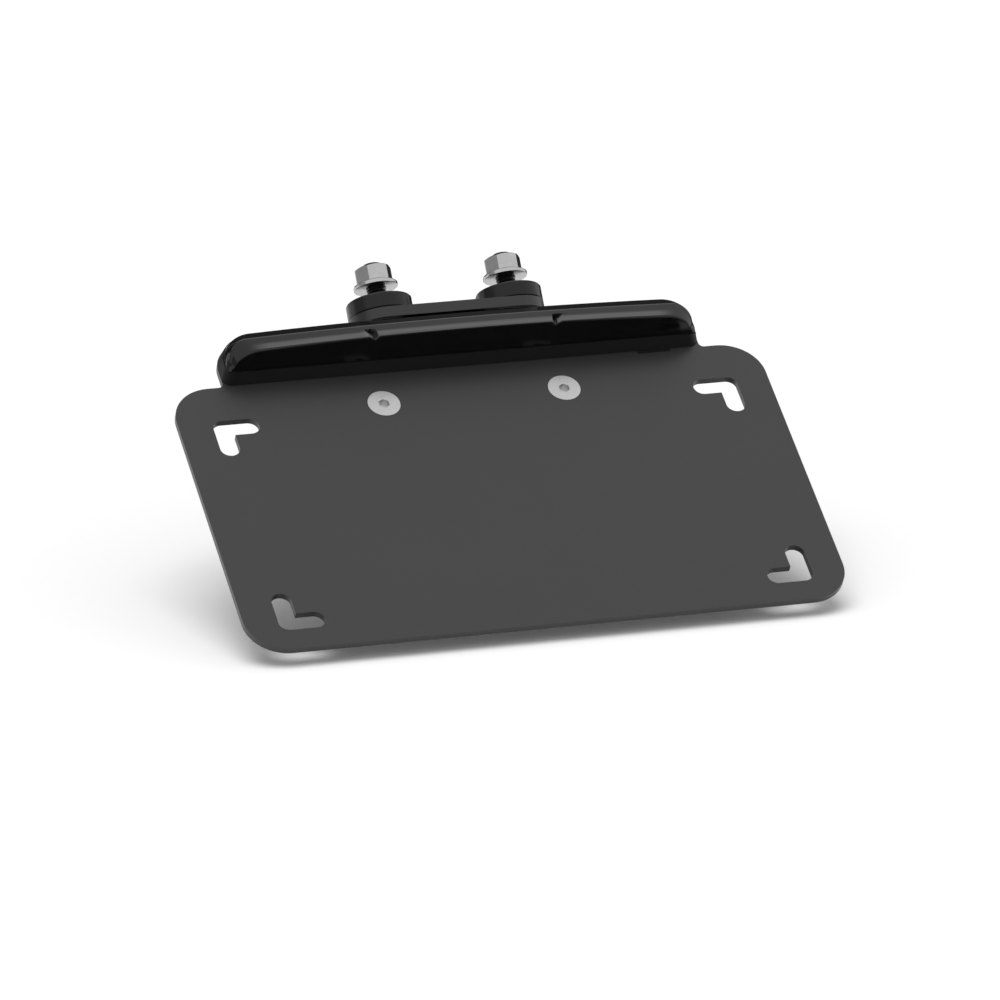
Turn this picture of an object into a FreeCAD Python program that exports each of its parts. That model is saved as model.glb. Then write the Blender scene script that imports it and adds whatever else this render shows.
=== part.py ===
import FreeCAD, Part
import Sketcher

import math
import os

# Licence-plate carrier with an LED light bar, for the tail of a motorcycle.
# Row frame, in millimetres: the origin lies midway between the two studs on the spacers' top face,
# +Z runs up the studs, +X is the carrier's right seen from behind, +Y points forward under the tail.
# The plate and all that is fixed to it share a second frame, the plate frame: X to the right,
# Y up the plate, Z out of its front face, with its origin in the middle of the plate's front face.

os.makedirs("parts", exist_ok=True)
doc = FreeCAD.newDocument("plate_carrier")
V = FreeCAD.Vector

SIZES = [
    # Plate: a laser-cut sheet with four L-shaped slots that suit several plate sizes
    ("plate_width", 185.0),
    ("plate_height", 104.0),
    ("plate_thickness", 2.0),
    ("plate_corner", 12.4),
    ("slot_inset", 13.3),
    ("slot_drop", 16.4),
    ("slot_rise", 10.2),
    ("slot_arm", 8.1),
    ("slot_width", 5.95),
    ("shoulder_fillet", 1.5),
    # Stud seat, given from the plate's top edge and face, and the angle between studs and plate
    ("lean", 24.0),
    ("seat_rise", 26.0),
    ("seat_out", 3.6),
    ("stud_x", 20.5),
    # Stud stack
    ("spacer_diameter", 20.0),
    ("spacer_height", 5.0),
    ("spacer_bore", 6.5),
    ("clamp_gap", 4.2),
    ("stud_thread", 5.9),
    ("stud_head", 12.0),
    ("stud_socket", 4.0),
    ("stud_socket_depth", 3.0),
    ("stud_tip", 1.2),
    ("nut_flats", 10.0),
    ("nut_height", 6.6),
    ("nut_bore", 6.0),
    ("flange_diameter", 13.5),
    ("flange_rim", 1.1),
    ("flange_rise", 0.9),
    # Bracket: an obround pad under the spacers and a leg that lies flat on the plate's back
    ("pad_width", 20.0),
    ("pad_thickness", 3.2),
    ("leg_thickness", 3.0),
    ("leg_width", 72.0),
    ("leg_drop", 19.5),
    ("shoulder_drop", 5.0),
    ("neck_width", 26.0),
    ("neck_length", 7.6),
    ("leg_corner", 7.0),
    ("weld_fillet", 1.2),
    # Plate screws and nuts
    ("plate_screw_x", 28.3),
    ("plate_screw_drop", 11.9),
    ("plate_screw_thread", 4.9),
    ("plate_screw_head", 10.1),
    ("plate_screw_length", 10.0),
    ("plate_screw_socket", 3.0),
    ("plate_socket_depth", 1.5),
    ("plate_nut_flats", 8.0),
    ("plate_nut_height", 4.0),
    ("plate_nut_bore", 5.0),
    # Light bar housing: a shallow tray on the tab above the plate
    ("bar_inset", 17.5),
    ("foot_gap", 0.3),
    ("bar_clearance", 0.5),
    ("rim_out", 3.9),
    ("foot_slope", 1.65),
    ("end_slope", 1.0),
    ("top_slope", 0.5),
    ("bar_corner_top", 10.0),
    ("bar_corner_foot", 3.0),
    ("tab_inset", 0.2),
    ("housing_wall", 2.0),
    ("housing_floor", 1.4),
    # Lens: a bowed shell on the housing's rim
    ("lens_wall", 2.0),
    ("lens_inset", 0.3),
    ("lens_corner", 7.0),
    ("bow_radius", 1300.0),
    ("crease_up", 4.1),
    ("crease_out", 12.5),
    ("face_up", 9.2),
    ("face_out", 11.8),
    ("bevel_out", 9.3),
    ("bevel_share", 0.6),
    # Inside the light bar
    ("gasket_width", 1.0),
    ("gasket_depth", 0.7),
    ("board_thickness", 1.0),
    ("board_lift", 1.0),
    ("board_gap", 0.4),
    ("emitter_length", 3.5),
    ("emitter_width", 2.4),
    ("emitter_height", 1.0),
    ("emitter_up", 6.0),
    ("emitters_to_divider", 4.5),
    ("divider_x", 28.3),
    ("divider_thickness", 1.2),
    ("inner_gap", 0.2),
    # Screws that hold the light bar, driven from behind the tab
    ("bar_screw_inset", 27.0),
    ("bar_screw_up", 10.0),
    ("bar_screw_thread", 2.9),
    ("bar_screw_bore", 3.0),
    ("bar_screw_head", 5.6),
    ("bar_screw_head_height", 1.9),
    ("bar_screw_length", 7.0),
    ("bar_screw_socket", 2.0),
    ("bar_socket_depth", 1.1),
    ("boss_diameter", 5.0),
    ("boss_height", 5.8),
    # Cable slot in the tab and its rubber grommet
    ("cable_slot_inset", 14.8),
    ("cable_slot_width", 11.0),
    ("cable_slot_height", 9.4),
    ("cable_slot_drop", 1.0),
    ("cable_slot_corner", 1.0),
    ("cable_bore", 4.0),
    ("grommet_lip", 1.2),
    ("grommet_lip_thickness", 1.2),
    ("grommet_neck", 7.0),
    ("grommet_neck_height", 2.5),
    # Clearances shared by the pieces that fit into each other
    ("slot_clearance", 0.1),
]

sheet = doc.addObject("Spreadsheet::Sheet", "sizes")
for row, (alias, value) in enumerate(SIZES, start=1):
    sheet.set("A%d" % row, alias)
    sheet.set("B%d" % row, str(value))
    sheet.setAlias("B%d" % row, alias)

# Derived places, worked out in the sheet from the sizes above
DERIVED = [
    ("plate_top", "=plate_height / 2"),
    ("slot_corner_x", "=plate_width / 2 - slot_inset"),
    ("slot_corner_top", "=plate_height / 2 - slot_drop"),
    ("slot_corner_bottom", "=plate_height / 2 - slot_rise"),
    ("seat_up", "=plate_top + seat_rise"),
    ("seat_height", "=seat_up * cos(lean * 1deg) + seat_out * sin(lean * 1deg)"),
    ("seat_depth", "=seat_out * cos(lean * 1deg) - seat_up * sin(lean * 1deg)"),
    ("pad_under", "=seat_height - spacer_height - pad_thickness"),
    ("leg_bottom", "=plate_top - leg_drop"),
    ("leg_shoulder", "=plate_top - shoulder_drop"),
    ("plate_screw_up", "=plate_top - plate_screw_drop"),
    ("bar_width", "=plate_width - 2 * bar_inset"),
    ("bar_screw_x", "=bar_width / 2 - bar_screw_inset"),
    ("cable_slot_x", "=bar_width / 2 - cable_slot_inset"),
    ("bar_foot", "=plate_top + foot_gap"),
    ("neck_bottom", "=pad_under / cos(lean * 1deg) - neck_length"),
    ("bar_limit", "=pad_under - bar_clearance"),
    ("rim_top", "=(bar_limit - rim_out * sin(lean * 1deg)) / cos(lean * 1deg)"),
    ("bar_top", "=rim_top + top_slope"),
    ("tab_top", "=bar_top - tab_inset"),
    ("leg_back", "=plate_thickness + leg_thickness"),
    ("leg_middle", "=plate_thickness + leg_thickness / 2"),
    ("leg_top", "=(pad_under + pad_thickness / 2 + leg_middle * sin(lean * 1deg)) / cos(lean * 1deg)"),
    ("beyond", "=plate_width"),
    ("board_back", "=housing_floor + board_lift"),
    ("board_front", "=board_back + board_thickness"),
    ("emitter_pitch", "=divider_x / emitters_to_divider"),
]
for row, (alias, formula) in enumerate(DERIVED, start=len(SIZES) + 1):
    sheet.set("A%d" % row, alias)
    sheet.set("B%d" % row, formula)
    sheet.setAlias("B%d" % row, alias)
doc.recompute()

SIZE = {}
for alias, value in SIZES + DERIVED:
    SIZE[alias] = float(sheet.get(alias))


def bound(text):
    """Write the sheet's name before each alias in an expression."""
    words = []
    word = ""
    for letter in text + " ":
        if letter.isalnum() or letter == "_":
            word += letter
        else:
            words.append("sizes." + word if word in SIZE else word)
            words.append(letter)
            word = ""
    return "".join(words).strip()


def number(text):
    """The present value of an expression."""
    value = sheet.evalExpression(bound(text).replace("sizes.", ""))
    return float(getattr(value, "Value", value))


def origin_plane(body, role):
    """An origin plane of the body, found by its role."""
    return [item for item in body.Origin.OriginFeatures if item.Role == role][0]


def new_body(label, in_plate_frame):
    """A body; those of the plate frame are leaned and lowered to their place under the studs."""
    body = doc.addObject("PartDesign::Body", label)
    body.Label = label
    if in_plate_frame:
        lean_to_plate(body)
    return body


def lean_to_plate(thing):
    """Give an object the placement of the plate frame."""
    thing.Placement = FreeCAD.Placement(V(0, 0, 0), FreeCAD.Rotation(V(1, 0, 0), 60))
    thing.setExpression("Placement.Rotation.Angle", "90 - sizes.lean")
    thing.setExpression("Placement.Base.y", "sizes.seat_depth")
    thing.setExpression("Placement.Base.z", "-sizes.seat_height")


def new_sketch(body, name, role="XY_Plane", lift="0"):
    """A sketch on an origin plane of the body, lifted along the plane's normal."""
    sketch = body.newObject("Sketcher::SketchObject", name)
    sketch.AttachmentSupport = [(origin_plane(body, role), "")]
    sketch.MapMode = "FlatFace"
    if lift != "0":
        sketch.setExpression("AttachmentOffset.Base.z", bound(lift))
    doc.recompute()
    return sketch


def add_bound(sketch, constraints):
    """Add constraints together; each may bring the expression that its value is bound to."""
    items = sketch.addConstraint([constraint for constraint, text in constraints])
    for item, (constraint, text) in zip(items, constraints):
        if text:
            sketch.setExpression("Constraints[%d]" % item, bound(text))


def point_at(geometry, place, x, y):
    """Constraints that hold a point at its distances from the sketch origin."""
    return [
        (Sketcher.Constraint("DistanceX", -1, 1, geometry, place, number(x)), x),
        (Sketcher.Constraint("DistanceY", -1, 1, geometry, place, number(y)), y),
    ]


def outline(sketch, corners):
    """A closed outline through corners (x, y), or (x, y, radius) between level and upright lines."""
    points = [V(number(corner[0]), number(corner[1]), 0) for corner in corners]
    count = len(corners)
    ends = []
    for place in range(count):
        here = points[place]
        if len(corners[place]) == 2:
            ends.append((here, here, here))
            continue
        radius = number(corners[place][2])
        back = (points[place - 1] - here).normalize()
        ahead = (points[(place + 1) % count] - here).normalize()
        middle = here + (back + ahead) * radius
        waist = middle + (here - middle).normalize() * radius
        ends.append((here + back * radius, here + ahead * radius, waist))
    lines = []
    for place in range(count):
        segment = Part.LineSegment(ends[place][1], ends[(place + 1) % count][0])
        lines.append(sketch.addGeometry(segment, False))
    rules = []
    for place in range(count):
        corner = corners[place]
        after = corners[(place + 1) % count]
        rounded = [end for end in (corner, after) if len(end) == 3]
        if not rounded:
            continue
        level = abs(points[place].y - points[(place + 1) % count].y) < 1e-6
        kind = "Horizontal" if level else "Vertical"
        rules.append((Sketcher.Constraint(kind, lines[place]), None))
        if len(rounded) == 2 and level:
            distance = Sketcher.Constraint("DistanceY", -1, 1, lines[place], 1, number(corner[1]))
            rules.append((distance, corner[1]))
        if len(rounded) == 2 and not level:
            distance = Sketcher.Constraint("DistanceX", -1, 1, lines[place], 1, number(corner[0]))
            rules.append((distance, corner[0]))
    for place in range(count):
        corner = corners[place]
        before = lines[place - 1]
        after = lines[place]
        if len(corner) == 2:
            rules += point_at(after, 1, corner[0], corner[1])
            rules.append((Sketcher.Constraint("Coincident", before, 2, after, 1), None))
            continue
        start, finish, waist = ends[place]
        turn = (waist - start).cross(finish - waist).z
        first = 1 if turn > 0 else 2
        curve = Part.Arc(start, waist, finish) if turn > 0 else Part.Arc(finish, waist, start)
        arc = sketch.addGeometry(curve, False)
        rules.append((Sketcher.Constraint("Tangent", before, 2, arc, first), None))
        rules.append((Sketcher.Constraint("Tangent", after, 1, arc, 3 - first), None))
        rules.append((Sketcher.Constraint("Radius", arc, number(corner[2])), corner[2]))
    add_bound(sketch, rules)


def circle(sketch, x, y, diameter):
    """A circle with its centre and diameter bound to expressions."""
    shape = Part.Circle(V(number(x), number(y), 0), V(0, 0, 1), number(diameter) / 2)
    item = sketch.addGeometry(shape, False)
    size = (Sketcher.Constraint("Diameter", item, number(diameter)), diameter)
    add_bound(sketch, point_at(item, 3, x, y) + [size])


def hexagon(sketch, x, y, flats, turn):
    """A hexagon by its distance across flats, with a corner at the angle turn."""
    corners = []
    for step in range(6):
        angle = "(%s + %d) * 1deg" % (turn, step * 60)
        across = "(%s) + (%s) / sqrt(3) * cos(%s)" % (x, flats, angle)
        upward = "(%s) + (%s) / sqrt(3) * sin(%s)" % (y, flats, angle)
        corners.append((across, upward))
    outline(sketch, corners)


def obround(sketch, x, y, far_x, far_y, width):
    """A slot between two centres, all given as expressions."""
    near = V(number(x), number(y), 0)
    far = V(number(far_x), number(far_y), 0)
    along = (far - near).normalize()
    side = V(-along.y, along.x, 0) * (number(width) / 2)
    out = along * (number(width) / 2)
    right = sketch.addGeometry(Part.LineSegment(near - side, far - side), False)
    cap = sketch.addGeometry(Part.Arc(far - side, far + out, far + side), False)
    left = sketch.addGeometry(Part.LineSegment(far + side, near + side), False)
    tail = sketch.addGeometry(Part.Arc(near + side, near - out, near - side), False)
    rules = point_at(tail, 3, x, y) + point_at(cap, 3, far_x, far_y)
    rules.append((Sketcher.Constraint("Diameter", cap, number(width)), width))
    rules.append((Sketcher.Constraint("Tangent", right, 2, cap, 1), None))
    rules.append((Sketcher.Constraint("Tangent", cap, 2, left, 1), None))
    rules.append((Sketcher.Constraint("Tangent", left, 2, tail, 1), None))
    rules.append((Sketcher.Constraint("Tangent", tail, 2, right, 1), None))
    add_bound(sketch, rules)


def on_plate_back(body, name):
    """A sketch that lies on the plate's back face, in a body of the row frame."""
    sketch = new_sketch(body, name)
    sketch.AttachmentOffset = FreeCAD.Placement(V(0, 0, 0), FreeCAD.Rotation(V(1, 0, 0), 60))
    depth = "seat_depth + plate_thickness * cos(lean * 1deg)"
    height = "-seat_height - plate_thickness * sin(lean * 1deg)"
    sketch.setExpression("AttachmentOffset.Rotation.Angle", "90 - sizes.lean")
    sketch.setExpression("AttachmentOffset.Base.y", bound(depth))
    sketch.setExpression("AttachmentOffset.Base.z", bound(height))
    doc.recompute()
    return sketch


def upright_axis(sketch, x, low, high):
    """A construction line that stands in the sketch, to turn a cut round."""
    foot = V(number(x), number(low), 0)
    head = V(number(x), number(high), 0)
    axis = sketch.addGeometry(Part.LineSegment(foot, head), True)
    add_bound(sketch, point_at(axis, 1, x, low) + point_at(axis, 2, x, high))


def pad(body, name, sketch, length, down=False, both=False):
    """Extrude a sketch along its normal, against it, or half to each side."""
    feature = body.newObject("PartDesign::Pad", name)
    feature.Profile = sketch
    feature.setExpression("Length", bound(length))
    feature.Reversed = down
    feature.Midplane = both
    doc.recompute()
    return feature


def pocket(body, name, sketch, length, up=False):
    """Cut a sketch into the body against its normal, or along it when up is set."""
    before = body.Shape.Volume
    feature = body.newObject("PartDesign::Pocket", name)
    feature.Profile = sketch
    feature.setExpression("Length", bound(length))
    feature.Reversed = up
    doc.recompute()
    if body.Shape.Volume > before - 1e-6:
        raise RuntimeError(name + " cuts nothing")
    return feature


def turned(body, name, sketch, axis="V_Axis"):
    """Revolve a sketch once round one of its own axes."""
    feature = body.newObject("PartDesign::Revolution", name)
    feature.Profile = sketch
    feature.ReferenceAxis = (sketch, [axis])
    feature.Angle = 360
    doc.recompute()
    return feature


def edges_joining(shape, pairs):
    """Names of the edges that run from the first to the second point of a pair."""
    names = []
    for place, edge in enumerate(shape.Edges, start=1):
        first = edge.Vertexes[0].Point
        last = edge.Vertexes[-1].Point
        for start, finish in pairs:
            along = max(first.distanceToPoint(start), last.distanceToPoint(finish))
            against = max(first.distanceToPoint(finish), last.distanceToPoint(start))
            if min(along, against) < 0.01:
                names.append("Edge%d" % place)
    return names


def fillet(body, name, edges, radius):
    """Round edges of the body's tip."""
    feature = body.newObject("PartDesign::Fillet", name)
    feature.Base = (feature.BaseFeature, edges)
    feature.setExpression("Radius", bound(radius))
    doc.recompute()
    return feature


def mirrored(body, name, features):
    """Repeat features on the other side of the middle plane."""
    feature = body.newObject("PartDesign::Mirrored", name)
    feature.Originals = features
    feature.MirrorPlane = (origin_plane(body, "YZ_Plane"), [""])
    body.Tip = feature
    doc.recompute()
    return feature


# Plate: the sheet with the tab that carries the light bar, cut in one outline
plate = new_body("plate_carrier", True)
blank = new_sketch(plate, "plate_outline")
outline(blank, [
    ("-plate_width / 2", "-plate_height / 2", "plate_corner"),
    ("plate_width / 2", "-plate_height / 2", "plate_corner"),
    ("plate_width / 2", "plate_top", "plate_corner"),
    ("bar_width / 2", "plate_top", "shoulder_fillet"),
    ("bar_width / 2", "tab_top", "bar_corner_top"),
    ("-bar_width / 2", "tab_top", "bar_corner_top"),
    ("-bar_width / 2", "plate_top", "shoulder_fillet"),
    ("-plate_width / 2", "plate_top", "plate_corner"),
])
pad(plate, "plate_sheet", blank, "plate_thickness", down=True)

across = new_sketch(plate, "slot_arms_across")
upward = new_sketch(plate, "slot_arms_upward")
for height, toward in (("slot_corner_top", "-"), ("-slot_corner_bottom", "+")):
    inner_x = "slot_corner_x - slot_arm"
    inner_y = "%s %s slot_arm" % (height, toward)
    obround(across, inner_x, height, "slot_corner_x", height, "slot_width")
    obround(upward, "slot_corner_x", inner_y, "slot_corner_x", height, "slot_width")
slots_across = pocket(plate, "slots_across", across, "plate_thickness")
slots_upward = pocket(plate, "slots_upward", upward, "plate_thickness")

sink = new_sketch(plate, "screw_sink", "YZ_Plane", "plate_screw_x")
outline(sink, [
    ("plate_screw_up", "0"),
    ("plate_screw_up + plate_screw_head / 2 + slot_clearance", "0"),
    ("plate_screw_up + plate_screw_head / 2 + slot_clearance - plate_thickness", "-plate_thickness"),
    ("plate_screw_up", "-plate_thickness"),
])
screw_sink = plate.newObject("PartDesign::Groove", "screw_hole")
upright_axis(sink, "plate_screw_up", "-plate_thickness", "plate_thickness")
screw_sink.Profile = sink
screw_sink.ReferenceAxis = (sink, ["Axis0"])
screw_sink.Angle = 360
doc.recompute()

bar_hole = new_sketch(plate, "bar_screw_hole")
circle(bar_hole, "bar_screw_x", "bar_foot + bar_screw_up", "bar_screw_bore")
bar_screw_hole = pocket(plate, "bar_screw_holes", bar_hole, "plate_thickness")
mirrored(plate, "both_sides", [slots_across, slots_upward, screw_sink, bar_screw_hole])

cable = new_sketch(plate, "cable_slot_outline")
cable_left = "cable_slot_x - cable_slot_width / 2"
cable_right = "cable_slot_x + cable_slot_width / 2"
cable_low = "bar_foot - cable_slot_drop"
cable_high = "bar_foot - cable_slot_drop + cable_slot_height"
outline(cable, [
    (cable_left, cable_low, "cable_slot_corner"),
    (cable_right, cable_low, "cable_slot_corner"),
    (cable_right, cable_high, "cable_slot_corner"),
    (cable_left, cable_high, "cable_slot_corner"),
])
pocket(plate, "cable_slot", cable, "plate_thickness")

# Bracket: pad and leg in one piece, with the leg between the stud heads
bracket = new_body("mounting_bracket", False)
flat = new_sketch(bracket, "pad_outline", "XY_Plane", "-spacer_height")
obround(flat, "-stud_x", "0", "stud_x", "0", "pad_width")
pad(bracket, "pad", flat, "pad_thickness", down=True)

leg = on_plate_back(bracket, "leg_outline")
outline(leg, [
    ("-leg_width / 2", "leg_bottom"),
    ("leg_width / 2", "leg_bottom"),
    ("leg_width / 2", "leg_shoulder"),
    ("neck_width / 2", "neck_bottom"),
    ("neck_width / 2", "leg_top"),
    ("-neck_width / 2", "leg_top"),
    ("-neck_width / 2", "neck_bottom"),
    ("-leg_width / 2", "leg_shoulder"),
])
pad(bracket, "leg", leg, "leg_thickness", down=True)


def in_row(x, up, out):
    """The row-frame point of a place in the plate frame."""
    tilt = math.radians(number("90 - lean"))
    forward = number("seat_depth") + up * math.cos(tilt) - out * math.sin(tilt)
    return V(x, forward, up * math.sin(tilt) + out * math.cos(tilt) - number("seat_height"))


leg_corners = []
for x in ("leg_width / 2", "-leg_width / 2"):
    for up in ("leg_bottom", "leg_shoulder"):
        front = in_row(number(x), number(up), -number("plate_thickness"))
        back = in_row(number(x), number(up), -number("leg_back"))
        leg_corners.append((front, back))
for x in ("neck_width / 2", "-neck_width / 2"):
    front = in_row(number(x), number("neck_bottom"), -number("plate_thickness"))
    back = in_row(number(x), number("neck_bottom"), -number("leg_back"))
    leg_corners.append((front, back))
fillet(bracket, "leg_rounding", edges_joining(bracket.Shape, leg_corners), "leg_corner")


def lies_under_pad(edge):
    """True for the leg's edges against the pad's underside."""
    under = -number("spacer_height + pad_thickness")
    box = edge.BoundBox
    level = box.ZLength < 1e-3 and box.YLength < 1e-3
    return level and abs(box.ZMin - under) < 1e-3 and abs(box.XLength - number("neck_width")) < 0.1


welded = ["Edge%d" % place for place, edge in enumerate(bracket.Shape.Edges, start=1) if lies_under_pad(edge)]
fillet(bracket, "weld", welded, "weld_fillet")

seats = new_sketch(bracket, "stud_holes", "XY_Plane", "-spacer_height")
circle(seats, "stud_x", "0", "spacer_bore")
stud_hole = pocket(bracket, "stud_hole", seats, "pad_thickness")
cone = new_sketch(bracket, "stud_sink", "XZ_Plane")
sink_mouth = "-spacer_height - pad_thickness"
sink_end = "-spacer_height - pad_thickness + stud_head / 2 - stud_thread / 2"
outline(cone, [
    ("stud_x", sink_mouth),
    ("stud_x + stud_head / 2 + slot_clearance", sink_mouth),
    ("stud_x + stud_thread / 2 + slot_clearance", sink_end),
    ("stud_x", sink_end),
])
upright_axis(cone, "stud_x", "-spacer_height", "spacer_height")
stud_sink = bracket.newObject("PartDesign::Groove", "stud_sink_cut")
stud_sink.Profile = cone
stud_sink.ReferenceAxis = (cone, ["Axis0"])
stud_sink.Angle = 360
doc.recompute()

bolt = on_plate_back(bracket, "plate_screw_hole")
leg_hole = "plate_screw_head - 2 * (plate_thickness - slot_clearance)"
circle(bolt, "plate_screw_x", "plate_screw_up", leg_hole)
bolt_hole = pocket(bracket, "plate_screw_hole_cut", bolt, "leg_thickness")
mirrored(bracket, "bracket_both_sides", [stud_hole, stud_sink, bolt_hole])


def bar_outline(sketch, half, low, high):
    """The light bar's outline seen from the front, with its two kinds of corner."""
    outline(sketch, [
        ("-(%s)" % half, low, "bar_corner_foot"),
        (half, low, "bar_corner_foot"),
        (half, high, "bar_corner_top"),
        ("-(%s)" % half, high, "bar_corner_top"),
    ])


# Light bar housing: a drafted tray with bosses for its two screws
housing = new_body("lightbar_housing", True)
base = new_sketch(housing, "housing_base")
bar_outline(base, "bar_width / 2", "bar_foot", "bar_top")
rim = new_sketch(housing, "housing_rim", "XY_Plane", "rim_out")
bar_outline(rim, "bar_width / 2 - end_slope", "bar_foot + foot_slope", "rim_top")
tray = housing.newObject("PartDesign::AdditiveLoft", "housing_shell")
tray.Profile = base
tray.Sections = [rim]
doc.recompute()


def ring_outline(sketch, inset):
    """The rim's outline moved inwards by an inset."""
    half = "bar_width / 2 - end_slope - (%s)" % inset
    low = "bar_foot + foot_slope + %s" % inset
    high = "rim_top - (%s)" % inset
    foot_corner = "bar_corner_foot - (%s) / 2" % inset
    top_corner = "bar_corner_top - (%s)" % inset
    outline(sketch, [
        ("-(%s)" % half, low, foot_corner),
        (half, low, foot_corner),
        (half, high, top_corner),
        ("-(%s)" % half, high, top_corner),
    ])


hollow = new_sketch(housing, "housing_hollow", "XY_Plane", "rim_out")
ring_outline(hollow, "housing_wall")
pocket(housing, "housing_cavity", hollow, "rim_out - housing_floor")

boss = new_sketch(housing, "boss_outline", "XY_Plane", "housing_floor")
circle(boss, "bar_screw_x", "bar_foot + bar_screw_up", "boss_diameter")
circle(boss, "-bar_screw_x", "bar_foot + bar_screw_up", "boss_diameter")
pad(housing, "bosses", boss, "boss_height - housing_floor")
ledge = new_sketch(housing, "board_ledges", "XY_Plane", "housing_floor")
ledge_half = "divider_x + divider_thickness"
ledge_low = "bar_foot + emitter_up - emitter_width"
ledge_high = "bar_foot + emitter_up + emitter_width / 2"
for side in ("", "-"):
    outline(ledge, [
        ("%s(divider_x - divider_thickness)" % side, ledge_low),
        ("%s(divider_x + divider_thickness)" % side, ledge_low),
        ("%s(divider_x + divider_thickness)" % side, ledge_high),
        ("%s(divider_x - divider_thickness)" % side, ledge_high),
    ])
pad(housing, "ledges", ledge, "board_lift")
drill = new_sketch(housing, "screw_bores")
circle(drill, "bar_screw_x", "bar_foot + bar_screw_up", "bar_screw_bore")
circle(drill, "-bar_screw_x", "bar_foot + bar_screw_up", "bar_screw_bore")
pocket(housing, "screw_bore_cut", drill, "bar_screw_length - plate_thickness + inner_gap", up=True)
wire_up = "bar_foot + foot_slope + housing_wall + cable_bore / 2 + slot_clearance"
wire_hole = new_sketch(housing, "wire_hole")
circle(wire_hole, "cable_slot_x", wire_up, "cable_bore")
pocket(housing, "wire_hole_cut", wire_hole, "housing_floor", up=True)

groove = new_sketch(housing, "seal_groove", "XY_Plane", "rim_out")
seal_inset = "housing_wall / 2 - gasket_width / 2 + lens_inset / 2"
ring_outline(groove, seal_inset)
ring_outline(groove, seal_inset + " + gasket_width")
pocket(housing, "seal_groove_cut", groove, "gasket_depth")

gasket = new_body("lens_gasket", True)
seal = new_sketch(gasket, "seal", "XY_Plane", "rim_out - gasket_depth")
ring_outline(seal, seal_inset)
ring_outline(seal, seal_inset + " + gasket_width")
pad(gasket, "seal_ring", seal, "gasket_depth")


def lens_block(label, inset, seat_out):
    """The lens's solid form, moved inwards by an inset and cut flat at its seat."""
    block = doc.addObject("PartDesign::Body", label)
    half = "(bar_width / 2 - end_slope - lens_inset - %s)" % inset
    corner = "(lens_corner - %s)" % inset
    bend_x = "(%s - %s)" % (half, corner)
    shoulder = "crease_out - %s - (2 * %s - %s) * %s / (2 * bow_radius)" % (inset, half, bend_x, bend_x)
    crown = "crease_out - %s + %s * %s / (2 * bow_radius)" % (inset, bend_x, bend_x)
    plan = new_sketch(block, label + "_plan", "XZ_Plane")
    outline(plan, [
        ("-" + half, "-lens_corner"),
        (half, "-lens_corner"),
        (half, shoulder),
        ("0", crown),
        ("-" + half, shoulder),
    ])
    pad(block, label + "_blank", plan, "beyond", both=True)
    reach = number("beyond / 2")
    ends = []
    for side in (number(half), -number(half)):
        ends.append((V(side, -reach, number(shoulder)), V(side, reach, number(shoulder))))
    fillet(block, label + "_ends", edges_joining(block.Shape, ends), corner)
    front = new_sketch(block, label + "_front", "XY_Plane", "-2 * lens_corner")
    outline(front, [
        ("-" + half, "bar_foot - foot_slope + %s" % inset),
        (half, "bar_foot - foot_slope + %s" % inset),
        (half, "rim_top - (%s)" % inset, "bar_corner_top - (%s)" % inset),
        ("-" + half, "rim_top - (%s)" % inset, "bar_corner_top - (%s)" % inset),
    ])
    outline(front, [
        ("-beyond", "-beyond"),
        ("beyond", "-beyond"),
        ("beyond", "beyond"),
        ("-beyond", "beyond"),
    ])
    pocket(block, label + "_trim", front, "3 * crease_out + 2 * lens_corner", up=True)
    seat = new_sketch(block, label + "_seat", "XY_Plane", seat_out)
    outline(seat, [
        ("-beyond", "-beyond"),
        ("beyond", "-beyond"),
        ("beyond", "beyond"),
        ("-beyond", "beyond"),
    ])
    pocket(block, label + "_flat", seat, "rim_out + 2 * lens_corner")
    profile = new_sketch(block, label + "_section", "YZ_Plane")
    slope = "(crease_up - foot_slope) / (crease_out - rim_out)"
    foot_v = "bar_foot + foot_slope + %s - 2 * rim_out * %s" % (inset, slope)
    bevel_n = "(bevel_out - %s * bevel_share)" % inset
    bevel_v = "(bar_limit - %s - %s * sin(lean * 1deg)) / cos(lean * 1deg)" % (inset, bevel_n)
    back_v = "(bar_limit - %s + rim_out * sin(lean * 1deg)) / cos(lean * 1deg)" % inset
    outline(profile, [
        (foot_v, "-rim_out"),
        ("bar_foot + crease_up + %s" % inset, "crease_out - %s" % inset),
        ("bar_foot + face_up", "face_out - %s" % inset),
        (bevel_v, bevel_n),
        (back_v, "-rim_out"),
        ("beyond", "-rim_out"),
        ("beyond", "beyond"),
        ("-beyond", "beyond"),
        ("-beyond", "-rim_out"),
    ])
    far = block.newObject("PartDesign::Line", label + "_bow_axis")
    far.Placement = FreeCAD.Placement(V(0, 0, 0), FreeCAD.Rotation(V(1, 0, 0), 90))
    far.setExpression("Placement.Base.z", bound("crease_out - bow_radius"))
    doc.recompute()
    before = block.Shape.Volume
    bow = block.newObject("PartDesign::Groove", label + "_bow")
    bow.Profile = profile
    bow.ReferenceAxis = (far, [""])
    bow.Midplane = True
    bow.setExpression("Angle", bound("2 * beyond / bow_radius") + " * 180 / pi")
    doc.recompute()
    if block.Shape.Volume > before - 1e-6:
        raise RuntimeError(label + " bow cuts nothing")
    return block


# Lens: the outer form less the inner one
lens_outer = lens_block("lens_form", "0", "rim_out")
lens_inner = lens_block("lens_core", "lens_wall", "rim_out")
lens = doc.addObject("Part::Cut", "lightbar_lens")
lens.Label = "lightbar_lens"
lens.Base = lens_outer
lens.Tool = lens_inner
lean_to_plate(lens)
doc.recompute()

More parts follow.
